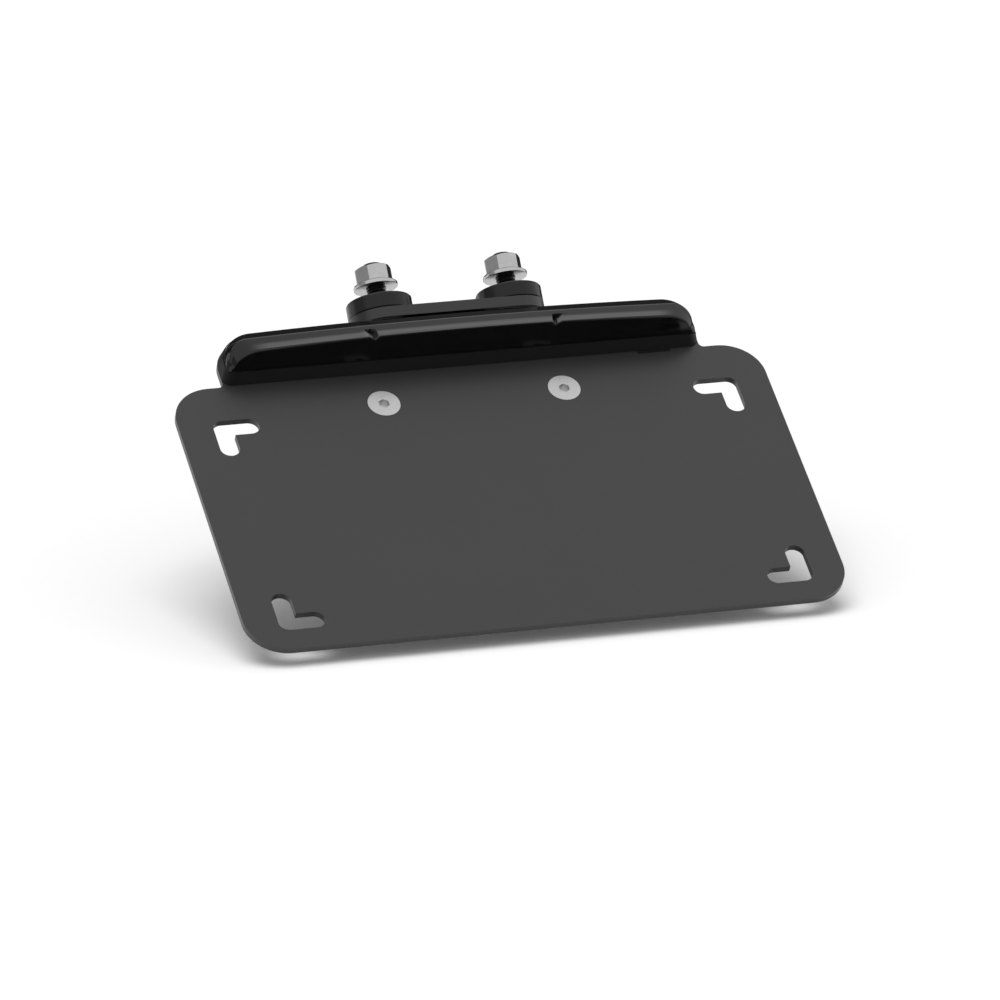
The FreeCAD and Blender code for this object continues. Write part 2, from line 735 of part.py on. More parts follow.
# LED board on its ledges, between the bosses' holes, with its row of emitters
board = new_body("led_board", True)
board_sketch = new_sketch(board, "board_outline", "XY_Plane", "board_back")
board_half = "bar_width / 2 - end_slope - lens_inset - lens_wall - lens_corner / 2"
board_low = "bar_foot + foot_slope + housing_wall + board_gap"
board_high = "rim_top - housing_wall - board_gap"
outline(board_sketch, [
    ("-(%s)" % board_half, board_low),
    (board_half, board_low),
    (board_half, board_high, "bar_corner_top - housing_wall"),
    ("-(%s)" % board_half, board_high, "bar_corner_top - housing_wall"),
])
circle(board_sketch, "bar_screw_x", "bar_foot + bar_screw_up", "boss_diameter + board_gap")
circle(board_sketch, "-bar_screw_x", "bar_foot + bar_screw_up", "boss_diameter + board_gap")
pad(board, "board", board_sketch, "board_thickness")

# Emitters: a centred row, as many to each side as the board has room for
emitters = new_body("led_emitters", True)
reach = "floor((%s - emitter_length) / emitter_pitch)" % board_half
first_x = "-emitter_pitch * %s" % reach
chip = new_sketch(emitters, "emitter_outline", "XY_Plane", "board_front")
outline(chip, [
    (first_x + " - emitter_length / 2", "bar_foot + emitter_up - emitter_width / 2"),
    (first_x + " + emitter_length / 2", "bar_foot + emitter_up - emitter_width / 2"),
    (first_x + " + emitter_length / 2", "bar_foot + emitter_up + emitter_width / 2"),
    (first_x + " - emitter_length / 2", "bar_foot + emitter_up + emitter_width / 2"),
])
first_emitter = pad(emitters, "emitter", chip, "emitter_height")
emitter_row = emitters.newObject("PartDesign::LinearPattern", "emitter_row")
emitter_row.Originals = [first_emitter]
emitter_row.Direction = (chip, ["H_Axis"])
emitter_row.setExpression("Length", bound("2 * emitter_pitch * " + reach))
emitter_row.setExpression("Occurrences", bound("1 + 2 * " + reach))
emitters.Tip = emitter_row
doc.recompute()

# Dividers between the light bar's middle and its two ends
divider_form = lens_block("divider_form", "(lens_wall + inner_gap)", "board_front")


def divider(label, side):
    """A wall across the inside of the lens, standing on the board."""
    wall = doc.addObject("Part::Box", label + "_wall")
    wall.setExpression("Length", bound("divider_thickness"))
    wall.setExpression("Width", bound("beyond"))
    wall.setExpression("Height", bound("crease_out"))
    wall.setExpression("Placement.Base.x", bound("%sdivider_x - divider_thickness / 2" % side))
    wall.setExpression("Placement.Base.z", bound("board_front"))
    shaped = doc.addObject("Part::Common", label)
    shaped.Label = label
    shaped.Base = divider_form
    shaped.Tool = wall
    lean_to_plate(shaped)
    doc.recompute()
    return shaped


divider_left = divider("light_baffle_left", "-")
divider_right = divider("light_baffle_right", "")


def turned_body(label, profile):
    """A body turned from its half profile, which is drawn beside the body's own axis."""
    body = doc.addObject("PartDesign::Body", label)
    body.Label = label
    shape = new_sketch(body, label + "_profile", "XZ_Plane")
    outline(shape, profile)
    turned(body, label + "_turned", shape)
    return body


def at_row(thing, x, y, z):
    """Place an object in the row frame."""
    thing.setExpression("Placement.Base.x", bound(x))
    thing.setExpression("Placement.Base.y", bound(y))
    thing.setExpression("Placement.Base.z", bound(z))


def at_plate(thing, x, up, out):
    """Place an object that is drawn upright at a place of the plate frame, its axis out of the plate."""
    thing.Placement = FreeCAD.Placement(V(0, 0, 0), FreeCAD.Rotation(V(1, 0, 0), 60))
    thing.setExpression("Placement.Rotation.Angle", "90 - sizes.lean")
    thing.setExpression("Placement.Base.x", bound(x))
    thing.setExpression("Placement.Base.y", bound(
        "seat_depth + (%s) * sin(lean * 1deg) - (%s) * cos(lean * 1deg)" % (up, out)))
    thing.setExpression("Placement.Base.z", bound(
        "-seat_height + (%s) * cos(lean * 1deg) + (%s) * sin(lean * 1deg)" % (up, out)))


SIDES = (("left", "-"), ("right", ""))
made = []
for side, sign in SIDES:
    # Stud: countersunk screw, flush under the pad, domed at the tip
    stud = turned_body("stud_screw_" + side, [
        ("0", "-spacer_height - pad_thickness"),
        ("stud_head / 2", "-spacer_height - pad_thickness"),
        ("stud_thread / 2", "-spacer_height - pad_thickness + stud_head / 2 - stud_thread / 2"),
        ("stud_thread / 2", "clamp_gap + nut_height + stud_tip"),
        ("0", "clamp_gap + nut_height + stud_tip"),
    ])
    socket = new_sketch(stud, "stud_socket_" + side, "XY_Plane", "-spacer_height - pad_thickness")
    hexagon(socket, "0", "0", "stud_socket", "0")
    pocket(stud, "stud_socket_cut_" + side, socket, "stud_socket_depth", up=True)
    at_row(stud, sign + "stud_x", "0", "0")
    made.append(stud)

    spacer = turned_body("spacer_" + side, [
        ("spacer_bore / 2", "-spacer_height"),
        ("spacer_diameter / 2", "-spacer_height"),
        ("spacer_diameter / 2", "0"),
        ("spacer_bore / 2", "0"),
    ])
    at_row(spacer, sign + "stud_x", "0", "0")
    made.append(spacer)

    # Flange nut: hexagon, chamfered above, that spreads into a round flange below
    nut = doc.addObject("PartDesign::Body", "flange_nut_" + side)
    nut.Label = "flange_nut_" + side
    six = new_sketch(nut, "nut_hexagon_" + side, "XY_Plane", "flange_rim / 2")
    hexagon(six, "0", "0", "nut_flats", "0")
    pad(nut, "nut_block_" + side, six, "nut_height - flange_rim / 2")
    skirt = new_sketch(nut, "nut_flange_" + side, "XZ_Plane")
    outline(skirt, [
        ("0", "0"),
        ("flange_diameter / 2", "0"),
        ("flange_diameter / 2", "flange_rim"),
        ("nut_flats / 2", "flange_rim + flange_rise"),
        ("0", "flange_rim + flange_rise"),
    ])
    turned(nut, "nut_flange_turned_" + side, skirt)
    bore = new_sketch(nut, "nut_bore_" + side)
    circle(bore, "0", "0", "nut_bore")
    pocket(nut, "nut_bore_cut_" + side, bore, "nut_height", up=True)
    at_row(nut, sign + "stud_x", "0", "clamp_gap")
    made.append(nut)

    # Plate screw: countersunk, flush with the plate's front
    flush = turned_body("plate_screw_" + side, [
        ("0", "-plate_screw_length"),
        ("plate_screw_thread / 2", "-plate_screw_length"),
        ("plate_screw_thread / 2", "-plate_screw_head / 2 + plate_screw_thread / 2"),
        ("plate_screw_head / 2", "0"),
        ("0", "0"),
    ])
    key = new_sketch(flush, "plate_socket_" + side)
    hexagon(key, "0", "0", "plate_screw_socket", "30")
    pocket(flush, "plate_socket_cut_" + side, key, "plate_socket_depth")
    at_plate(flush, sign + "plate_screw_x", "plate_screw_up", "0")
    made.append(flush)

    plain = doc.addObject("PartDesign::Body", "plate_nut_" + side)
    plain.Label = "plate_nut_" + side
    plain_six = new_sketch(plain, "plain_hexagon_" + side, "XY_Plane", "-leg_back - plate_nut_height")
    hexagon(plain_six, "0", "0", "plate_nut_flats", "0")
    pad(plain, "plain_block_" + side, plain_six, "plate_nut_height")
    plain_bore = new_sketch(plain, "plain_bore_" + side, "XY_Plane", "-leg_back - plate_nut_height")
    circle(plain_bore, "0", "0", "plate_nut_bore")
    pocket(plain, "plain_bore_cut_" + side, plain_bore, "plate_nut_height", up=True)
    at_plate(plain, sign + "plate_screw_x", "plate_screw_up", "0")
    made.append(plain)

    # Light bar screw: its round head lies on the tab's back
    rear = turned_body("lightbar_screw_" + side, [
        ("0", "-plate_thickness - bar_screw_head_height"),
        ("bar_screw_head / 2", "-plate_thickness - bar_screw_head_height"),
        ("bar_screw_head / 2", "-plate_thickness"),
        ("bar_screw_thread / 2", "-plate_thickness"),
        ("bar_screw_thread / 2", "bar_screw_length - plate_thickness"),
        ("0", "bar_screw_length - plate_thickness"),
    ])
    rear_key = new_sketch(rear, "rear_socket_" + side, "XY_Plane", "-plate_thickness - bar_screw_head_height")
    hexagon(rear_key, "0", "0", "bar_screw_socket", "0")
    pocket(rear, "rear_socket_cut_" + side, rear_key, "bar_socket_depth", up=True)
    at_plate(rear, sign + "bar_screw_x", "bar_foot + bar_screw_up", "0")
    made.append(rear)

# Cable grommet: a rubber block in the tab's slot with a lip and a round neck behind
grommet = new_body("cable_grommet", True)
plug = new_sketch(grommet, "grommet_block")
outline(plug, [
    (cable_left + " + slot_clearance", cable_low + " + slot_clearance", "cable_slot_corner"),
    (cable_right + " - slot_clearance", cable_low + " + slot_clearance", "cable_slot_corner"),
    (cable_right + " - slot_clearance", cable_high + " - slot_clearance", "cable_slot_corner"),
    (cable_left + " + slot_clearance", cable_high + " - slot_clearance", "cable_slot_corner"),
])
pad(grommet, "grommet_plug", plug, "plate_thickness", down=True)
lip = new_sketch(grommet, "grommet_lip_outline", "XY_Plane", "-plate_thickness")
outline(lip, [
    (cable_left + " - grommet_lip", cable_low + " - grommet_lip"),
    (cable_right + " + grommet_lip", cable_low + " - grommet_lip"),
    (cable_right + " + grommet_lip", cable_high + " + grommet_lip"),
    (cable_left + " - grommet_lip", cable_high + " + grommet_lip"),
])
pad(grommet, "grommet_lip_plate", lip, "grommet_lip_thickness", down=True)
neck = new_sketch(grommet, "grommet_neck_outline", "XY_Plane", "-plate_thickness - grommet_lip_thickness")
circle(neck, "cable_slot_x", wire_up, "grommet_neck")
pad(grommet, "grommet_neck_tube", neck, "grommet_neck_height", down=True)
cable_hole = new_sketch(grommet, "grommet_bore")
circle(cable_hole, "cable_slot_x", wire_up, "cable_bore")
bore_length = "plate_thickness + grommet_lip_thickness + grommet_neck_height"
pocket(grommet, "grommet_bore_cut", cable_hole, bore_length)

made += [plate, bracket, housing, gasket, lens, board, emitters, divider_left, divider_right, grommet]
doc.recompute()
for item in doc.Objects:
    if "Invalid" in item.State or "Error" in item.State:
        raise RuntimeError(item.Name + " could not be built")
for piece in made:
    if piece.Shape.isNull() or not piece.Shape.isValid():
        raise RuntimeError(piece.Label + " has no sound shape")
for piece in made:
    piece.Shape.exportStep("parts/%s.step" % piece.Label)
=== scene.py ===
# %% [markdown]
# A number-plate carrier for the tail of a motorcycle: a flat sheet with four L-shaped slots, a
# bowed, smoked light bar above it, and a two-stud bracket with spacers and flange nuts behind.
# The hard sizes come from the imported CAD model, which loads here as a fixed frame. Blender adds
# what a solid model leaves out: broken edges, threads, and finishes that answer to light.

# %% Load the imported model
import math

import bmesh
import bpy
from mathutils import Matrix, Vector


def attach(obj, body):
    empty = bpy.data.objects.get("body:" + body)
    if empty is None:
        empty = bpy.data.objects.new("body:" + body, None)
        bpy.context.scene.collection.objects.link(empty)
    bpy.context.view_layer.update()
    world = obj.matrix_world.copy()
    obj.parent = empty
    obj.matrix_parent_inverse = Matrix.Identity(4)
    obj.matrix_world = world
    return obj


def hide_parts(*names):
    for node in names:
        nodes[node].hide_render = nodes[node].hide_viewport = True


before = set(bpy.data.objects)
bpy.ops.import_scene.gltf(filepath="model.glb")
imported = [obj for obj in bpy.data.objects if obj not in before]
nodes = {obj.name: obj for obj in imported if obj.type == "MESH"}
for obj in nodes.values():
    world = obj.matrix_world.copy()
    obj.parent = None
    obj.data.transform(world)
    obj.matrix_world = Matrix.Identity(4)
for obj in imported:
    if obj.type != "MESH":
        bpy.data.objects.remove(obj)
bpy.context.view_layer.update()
print("CAD nodes:", len(nodes))

# %% [markdown]
# The photograph is a long-lens picture from low on the left, so the plate's edges stay almost
# parallel. A camera could be aimed with a Track To constraint, but its exact axes were solved
# from the plate's corners and slots, so they are written down as a matrix.

# %% Camera
camera_data = bpy.data.cameras.new("camera")
camera_data.lens = 272.0
camera_data.sensor_width = 36.0
camera_data.clip_end = 20.0
camera = bpy.data.objects.new("camera", camera_data)
bpy.context.scene.collection.objects.link(camera)
camera.matrix_world = Matrix((
    (0.950015, 0.086655, -0.299938, -0.672605),
    (-0.257749, -0.324428, -0.910117, -2.058629),
    (-0.176175, 0.941933, -0.285876, -0.712276),
    (0.0, 0.0, 0.0, 1.0),
))
bpy.context.scene.camera = camera
print("camera lens in mm:", camera_data.lens)

# %% [markdown]
# Most parts are drawn square to the plate, which leans 24 degrees away from the studs. A matrix
# for the plate's own frame lets each piece be modelled upright at the origin and then carried
# to its place: X to the right, Y up the plate, Z out of its front face. All lengths are metres.

# %% The plate's frame
LEAN = math.radians(24.0)
SEAT_UP = 0.078
SEAT_OUT = 0.0036
PLATE_SIDE = 0.0925
PLATE_HALF = 0.052
PLATE_THICK = 0.002


def on_plate(x, up, out):
    """The place and lean of a point in the plate's frame, as a matrix."""
    lean = Matrix.Rotation(math.pi / 2 - LEAN, 4, "X")
    seat = Vector((0.0, SEAT_UP, SEAT_OUT))
    return lean @ Matrix.Translation(Vector((x, up, out)) - seat)


corner = on_plate(PLATE_SIDE, -PLATE_HALF, 0.0).to_translation()
print("plate's lower right corner:", [round(value, 4) for value in corner])

# %% [markdown]
# A finish in Blender is a graph of nodes. Wired by hand, the sum behind it is hard to see, so a
# small class wraps a node's output, and +, - and * on it add the Math nodes. The reflected forms
# make 1 - mask work too.


# %% Sums on sockets
class Socket:
    """An output of a shader node, with arithmetic that adds Math nodes."""

    def __init__(self, finish, output):
        self.finish = finish
        self.output = output

    def math(self, operation, first, second):
        """A Math node that works on two values."""
        return self.finish.add("ShaderNodeMath", {"operation": operation}, {0: first, 1: second})

    def __add__(self, other):
        return self.math("ADD", self, other)

    def __radd__(self, other):
        return self.math("ADD", other, self)

    def __sub__(self, other):
        return self.math("SUBTRACT", self, other)

    def __rsub__(self, other):
        return self.math("SUBTRACT", other, self)

    def __mul__(self, other):
        return self.math("MULTIPLY", self, other)

    def __rmul__(self, other):
        return self.math("MULTIPLY", other, self)

    def __abs__(self):
        return self.finish.add("ShaderNodeMath", {"operation": "ABSOLUTE"}, {0: self})

    def highest(self, other):
        """The larger of two values."""
        return self.math("MAXIMUM", self, other)

    def part(self, name):
        """Another output of the same node."""
        return Socket(self.finish, self.output.node.outputs[name])


print("sockets can add, subtract and multiply")

# %% [markdown]
# Everything else in a finish comes from one method: a node's type, its settings, and then a
# value or a link for each socket. The settings go first, because they can change the sockets.


# %% Finishes from nodes
class Finish:
    """A material or a world that is built from nodes."""

    def __init__(self, name, owner=None):
        self.owner = owner or bpy.data.materials.new(name)
        self.owner.use_nodes = True
        self.tree = self.owner.node_tree
        self.tree.nodes.clear()

    def add(self, kind, settings=None, values=None):
        """Add a node of a type, with its settings and then its sockets' values or links."""
        node = self.tree.nodes.new(kind)
        for name, value in (settings or {}).items():
            setattr(node, name, value)
        for name, value in (values or {}).items():
            if isinstance(value, Socket):
                self.tree.links.new(value.output, node.inputs[name])
            else:
                node.inputs[name].default_value = value
        outputs = [output for output in node.outputs if output.enabled]
        return Socket(self, outputs[0]) if outputs else None


print("one method adds any node")

# %% [markdown]
# The carrier is photographed as if it stood on the lower edge of its plate, on a white floor
# that fades into a white background. The floor is stage, not part of the object. A shadow
# catcher would need a background put in later, so a plain white sheet keeps the soft shadow
# instead. It lets the camera through from below and the lamps through from both sides, so that
# the carrier's back can be looked at from any side.

# %% Floor that keeps the shadow
WHITE = (1.0, 1.0, 1.0, 1.0)
FLOOR_UP = Vector((0.0, -0.564, 0.826)).normalized()
FLOOR_GAP = 0.004
FLOOR_SIDE = 12.0


def sheet(name, middle, facing, across, along, material):
    """A flat stage sheet with its front towards a direction."""
    mesh = bmesh.new()
    bmesh.ops.create_grid(mesh, x_segments=1, y_segments=1, size=0.5)
    turn = facing.to_track_quat("Z", "Y").to_matrix().to_4x4()
    mesh.transform(Matrix.Translation(middle) @ turn @ Matrix.Diagonal((across, along, 1.0, 1.0)))
    data = bpy.data.meshes.new(name)
    mesh.to_mesh(data)
    mesh.free()
    data.materials.append(material)
    item = bpy.data.objects.new(name, data)
    bpy.context.scene.collection.objects.link(item)
    return item


white = Finish("white_floor")
paint = white.add("ShaderNodeBsdfDiffuse", None, {"Color": WHITE})
clear = white.add("ShaderNodeBsdfTransparent")
behind = white.add("ShaderNodeNewGeometry").part("Backfacing")
lamp_ray = white.add("ShaderNodeLightPath").part("Is Shadow Ray")
let_through = behind.highest(lamp_ray)
sided = white.add("ShaderNodeMixShader", None, {0: let_through, 1: paint, 2: clear})
white.add("ShaderNodeOutputMaterial", None, {"Surface": sided})
lowest = on_plate(0.0, -PLATE_HALF, -PLATE_THICK).to_translation()
floor_middle = lowest - FLOOR_UP * FLOOR_GAP
sheet("floor", floor_middle, FLOOR_UP, FLOOR_SIDE, FLOOR_SIDE, white.owner)
print("floor passes", [round(value, 4) for value in floor_middle])

# %% [markdown]
# The picture has the even light of a white studio. One environment could do all of it, but then
# the background's white would also set how strongly the part is lit. The Light Path node keeps
# them apart: the camera, mirrors and clear plastic see full white, and everything else gets a
# softer light.

# %% White studio
SOFT_LIGHT = 0.58
SEEN_WHITE = 1.0
world = bpy.data.worlds.new("studio")
bpy.context.scene.world = world
studio = Finish("studio", world)
rays = studio.add("ShaderNodeLightPath")
seen = rays.part("Is Camera Ray")
for kind in ("Is Glossy Ray", "Is Transmission Ray"):
    seen = seen.highest(rays.part(kind))
soft = studio.add("ShaderNodeBackground", None, {"Color": WHITE, "Strength": SOFT_LIGHT})
bright = studio.add("ShaderNodeBackground", None, {"Color": WHITE, "Strength": SEEN_WHITE})
sky = studio.add("ShaderNodeMixShader", None, {0: seen, 1: soft, 2: bright})
studio.add("ShaderNodeOutputWorld", None, {"Surface": sky})
print("light from all sides:", SOFT_LIGHT)

# %% [markdown]
# One soft lamp shines from above the front, and another fills the back from below. Area lamps
# fall off with distance and brighten the floor under them, so both are wide suns, which light
# every place alike. Neither shows in reflections, where it would whiten the black finishes.


# %% Soft lamps
def soft_sun(name, comes_from, strength, spread):
    """A wide, even lamp from far away that no reflection shows."""
    data = bpy.data.lights.new(name, "SUN")
    data.energy = strength
    data.angle = math.radians(spread)
    lamp = bpy.data.objects.new(name, data)
    bpy.context.scene.collection.objects.link(lamp)
    lamp.matrix_world = Vector(comes_from).to_track_quat("Z", "Y").to_matrix().to_4x4()
    lamp.visible_glossy = False
    return lamp


lamps = (
    soft_sun("overhead", comes_from=(-0.16, -0.60, 0.78), strength=1.45, spread=50.0),
    soft_sun("fill_behind", comes_from=(-0.35, 0.75, -0.40), strength=1.6, spread=70.0),
)
print("lamps:", [lamp.name for lamp in lamps])

# %% [markdown]
# Bright metal in an all-white room has no shape. A photographer stands dark cards just out of
# the picture, and the sides of the nuts, the lens and the plate's edge then turn dark. Here the
# cards are stage: they show only in reflections and cast no shadow. They carry their own small
# light instead of black paint, so that each has exactly the tone it is given.

# %% Dark cards
BACK = Vector((0.0, 0.826, 0.564))
RIGHT = Vector((1.0, 0.0, 0.0))
just_over = floor_middle + FLOOR_UP * 0.001


def card(name, middle, facing, across, along, shade):
    """A dark card that only reflections show."""
    black = Finish(name)
    tone = black.add("ShaderNodeEmission", None, {"Color": WHITE, "Strength": shade})
    black.add("ShaderNodeOutputMaterial", None, {"Surface": tone})
    item = sheet(name, middle, facing, across, along, black.owner)
    item.visible_camera = False
    item.visible_diffuse = False
    item.visible_shadow = False


# Each card: its name, its middle, where it faces, its two sides, and its tone.
card("front_card", just_over - BACK * 0.28, FLOOR_UP, 1.2, 0.5, 0.02)
card("right_card", just_over + BACK * 0.45 + RIGHT * 0.38, FLOOR_UP, 0.4, 0.5, 0.02)
card("back_card", BACK * 0.5 + FLOOR_UP * 0.1 + RIGHT * 0.1, -BACK, 1.2, 0.6, 0.06)
card("near_card", Vector((0.085, 0.147, 0.0)), Vector((-0.5, -0.865, 0.0)), 0.22, 0.2, 0.03)
card("left_card", RIGHT * -0.6, RIGHT, 0.5, 1.2, 0.42)

# %% [markdown]
# Every finish below needs the same few things: noise that sits on the piece, a colour between
# two tones, and a height that becomes a surface direction. An image texture would need the
# meshes unwrapped, so the noise runs on each piece's own coordinates instead.


# %% Noise, colour and bump
def grey(level, blue=0.0):
    """A grey, with a little more blue where a finish is cold."""
    return (level, level, level + blue)


def noise(finish, scale, detail=2.0, roughness=0.5, distortion=0.0):
    """Noise on the piece's own coordinates, in cells per metre."""
    return finish.add("ShaderNodeTexNoise", None, {
        "Vector": finish.add("ShaderNodeTexCoord").part("Object"),
        "Scale": scale,
        "Detail": detail,
        "Roughness": roughness,
        "Distortion": distortion,
    })


def blend(finish, factor, dark, light):
    """A colour between two colours."""
    values = {0: factor, 6: (*dark, 1.0), 7: (*light, 1.0)}
    return finish.add("ShaderNodeMix", {"data_type": "RGBA"}, values).part(2)


def bump(finish, height, distance):
    """Turn a height into a surface direction."""
    return finish.add("ShaderNodeBump", None, {"Height": height, "Distance": distance})


def surface(finish, values):
    """Close the material with a Principled shader."""
    shader = finish.add("ShaderNodeBsdfPrincipled", None, values)
    finish.add("ShaderNodeOutputMaterial", None, {"Surface": shader})
    return finish.owner


print("a cold grey:", grey(0.020, 0.0005))

# %% [markdown]
# Powder coat is paint that is melted on. It flows a little before it sets, so it shows a soft
# dimple pattern under a half-matt gloss, and its colour is never quite even. Noise at a
# fraction of a millimetre gives the dimples as bump, and wider noise shifts the tone.


# %% Powder coats
def powder_coat(name, dark, light, rough):
    """A half-matt powder coat between two tones."""
    finish = Finish(name)
    tone = noise(finish, 35.0, detail=3.0)
    grain = noise(finish, 1500.0)
    dimples = noise(finish, 3200.0, detail=1.0)
    return surface(finish, {
        "Base Color": blend(finish, tone * 0.6 + grain * 0.4, dark, light),
        "Roughness": rough + (tone - 0.5) * 0.06 + (grain - 0.5) * 0.1,
        "Normal": bump(finish, dimples, 0.00002),
        "IOR": 1.55,
    })


plate_coat = powder_coat("plate_coat", grey(0.012, 0.0005), grey(0.020, 0.0005), rough=0.37)
bracket_coat = powder_coat("bracket_coat", grey(0.006, 0.0005), grey(0.012, 0.0005), rough=0.34)
print("coats:", plate_coat.name, bracket_coat.name)

# %% [markdown]
# The light bar's tray is a matt black moulding with a spark-eroded grain, and the grommet and
# gasket are rubber. All are one recipe: a slow change of tone, a fine grain as bump, and the
# same grain in the roughness, since a rough spot is both higher and duller.


# %% Plastics and rubber
def moulded(name, dark, light, rough, grain_scale, grain_height, gloss=1.49):
    """A moulded plastic or rubber with a fine grain."""
    finish = Finish(name)
    tone = noise(finish, 60.0, detail=3.0)
    grain = noise(finish, grain_scale)
    return surface(finish, {
        "Base Color": blend(finish, tone, dark, light),
        "Roughness": rough + (grain - 0.5) * 0.12,
        "Normal": bump(finish, grain, grain_height),
        "IOR": gloss,
    })


housing_plastic = moulded(
    "housing_plastic", grey(0.002), grey(0.004),
    rough=0.45, grain_scale=2500.0, grain_height=0.00002, gloss=1.33)
baffle_plastic = moulded(
    "baffle_plastic", grey(0.006), grey(0.010),
    rough=0.6, grain_scale=2500.0, grain_height=0.00002)
gasket_rubber = moulded(
    "gasket_rubber", grey(0.010), grey(0.018),
    rough=0.7, grain_scale=1800.0, grain_height=0.00003)
# The grommet's rubber is far darker than the gasket's: a painted shade for the shadow inside the
# cable slot.
grommet_rubber = moulded(
    "grommet_rubber", grey(0.0015), grey(0.004),
    rough=0.7, grain_scale=1800.0, grain_height=0.00003, gloss=1.3)
board_mask = moulded(
    "board_mask", (0.006, 0.030, 0.015), (0.010, 0.050, 0.025),
    rough=0.35, grain_scale=900.0, grain_height=0.00002)
emitter_body = moulded(
    "emitter_body", (0.75, 0.62, 0.22), (0.85, 0.75, 0.35),
    rough=0.25, grain_scale=1200.0, grain_height=0.00001)
print("plastics:", housing_plastic.name, grommet_rubber.name)

# %% [markdown]
# The lens is smoked plastic that was polished in the mould, so it is almost a black mirror with
# faint wiping marks. Its colour also carries a painted highlight: a pale strip along the foot of
# the front face, and a thinner line at its top edge. Smooth steps on the height up the plate fade
# them in and out.

# %% Smoked lens
# Where the painted highlight lies: the strip above the crease, where it clears at the ticks, and
# the line at the top of the face.
TICK_X = 0.0283
STRIP_STARTS = (0.0563, 0.0565)
STRIP_FADES = (0.0578, 0.0592)
STRIP_ENDS = (0.060, 0.068)
TICK_CLEARS = (0.0007, 0.0009)
LINE_STARTS = (0.0611, 0.0614)
LINE_FADES = (0.0616, 0.0619)


def distance_along(finish, place, axis):
    """Distance along an axis, on the piece's own coordinates."""
    values = {0: place, 1: axis}
    return finish.add("ShaderNodeVectorMath", {"operation": "DOT_PRODUCT"}, values).part("Value")


def ramp(finish, value, low, high):
    """A smooth rise from 0 to 1 between two values."""
    settings = {"interpolation_type": "SMOOTHSTEP"}
    values = {0: value, 1: low, 2: high, 3: 0.0, 4: 1.0}
    return finish.add("ShaderNodeMapRange", settings, values)


def drawn_noise(finish, place, stretch, scale):
    """Noise that is drawn out along an axis."""
    drawn = finish.add("ShaderNodeMapping", None, {"Vector": place, "Scale": stretch})
    return finish.add("ShaderNodeTexNoise", None, {"Vector": drawn, "Scale": scale, "Detail": 3.0})


def painted_highlight(finish, place, lines):
    """How much painted highlight shows: a pale strip above the crease and a thin line at the face's
    top.
    """
    up = distance_along(finish, place, (0.0, math.sin(LEAN), math.cos(LEAN))) + SEAT_UP
    side = abs(distance_along(finish, place, (1.0, 0.0, 0.0)))
    from_tick = abs(side - TICK_X)
    strip = ramp(finish, up, *STRIP_STARTS) * (1.0 - ramp(finish, up, *STRIP_FADES))
    strip = strip * (1.0 - ramp(finish, side, *STRIP_ENDS)) * ramp(finish, from_tick, *TICK_CLEARS)
    line = ramp(finish, up, *LINE_STARTS) * (1.0 - ramp(finish, up, *LINE_FADES))
    return strip * (0.6 + lines * 0.8) + line * 0.45


def smoked_lens():
    """Polished smoked plastic with a painted highlight in its colour: a pale strip and a thin line.
    """
    finish = Finish("lens_smoke")
    place = finish.add("ShaderNodeTexCoord").part("Object")
    lines = drawn_noise(finish, place, (0.02, 1.0, 1.0), 1400.0)
    wiping = noise(finish, 300.0, detail=5.0, roughness=0.7, distortion=1.5)
    flow = noise(finish, 18.0, detail=1.0)
    # Painted highlight: this mask lifts the base colour from near black to a pale grey.
    shade = painted_highlight(finish, place, lines)
    return surface(finish, {
        "Base Color": blend(finish, shade, grey(0.0012, 0.0001), grey(0.075, 0.001)),
        "Roughness": 0.05 + wiping * 0.05 + lines * 0.05,
        "Normal": bump(finish, flow * 8.0 + lines, 0.000006),
        "IOR": 1.44,
    })


lens_smoke = smoked_lens()
print("lens finish has nodes:", len(lens_smoke.node_tree.nodes))

# %% [markdown]
# The screws and nuts are zinc plated. Zinc is bright but a little cloudy, and a turned or pressed
# face keeps rings round its axis. A Mapping node moves the pattern to each screw's axis, the
# distance from that axis drives a wave, and the wave gives the rings.

# %% Zinc
RING_PITCH = 0.00022


def rings(finish, carried, pitch):
    """Rings round the local Z axis of a placed piece."""
    home = carried.inverted()
    local = finish.add("ShaderNodeMapping", {"vector_type": "POINT"}, {
        "Vector": finish.add("ShaderNodeTexCoord").part("Object"),
        "Location": home.to_translation(),
        "Rotation": home.to_euler(),
    })
    flat_values = {0: local, 1: (1.0, 1.0, 0.0)}
    flat = finish.add("ShaderNodeVectorMath", {"operation": "MULTIPLY"}, flat_values)
    reach = finish.add("ShaderNodeVectorMath", {"operation": "LENGTH"}, {0: flat}).part("Value")
    turns = reach * (2 * math.pi / pitch)
    return finish.add("ShaderNodeMath", {"operation": "SINE"}, {0: turns})


def bright_zinc(name, carried, dark, light, rough):
    """Zinc plating with turning rings round the piece's axis."""
    finish = Finish(name)
    ring_wave = rings(finish, carried, RING_PITCH)
    cloud = noise(finish, 450.0, detail=4.0, roughness=0.6)
    speck = noise(finish, 4000.0)
    return surface(finish, {
        "Base Color": blend(finish, cloud, dark, light),
        "Metallic": 1.0,
        "Roughness": rough + (cloud - 0.5) * 0.14 + (speck - 0.5) * 0.08,
        "Normal": bump(finish, ring_wave * 0.5 + speck, 0.000004),
    })


print("rings apart by mm:", 1000 * RING_PITCH)

# %% [markdown]
# The studs have black oxide and the spacers black anodising. Both are a thin dark skin on metal,
# and fingers and tools leave faint streaks on it. A metallic black would mirror the white room,
# so the skin is a dark, weakly glossy paint with noise drawn out along the stud's axis.


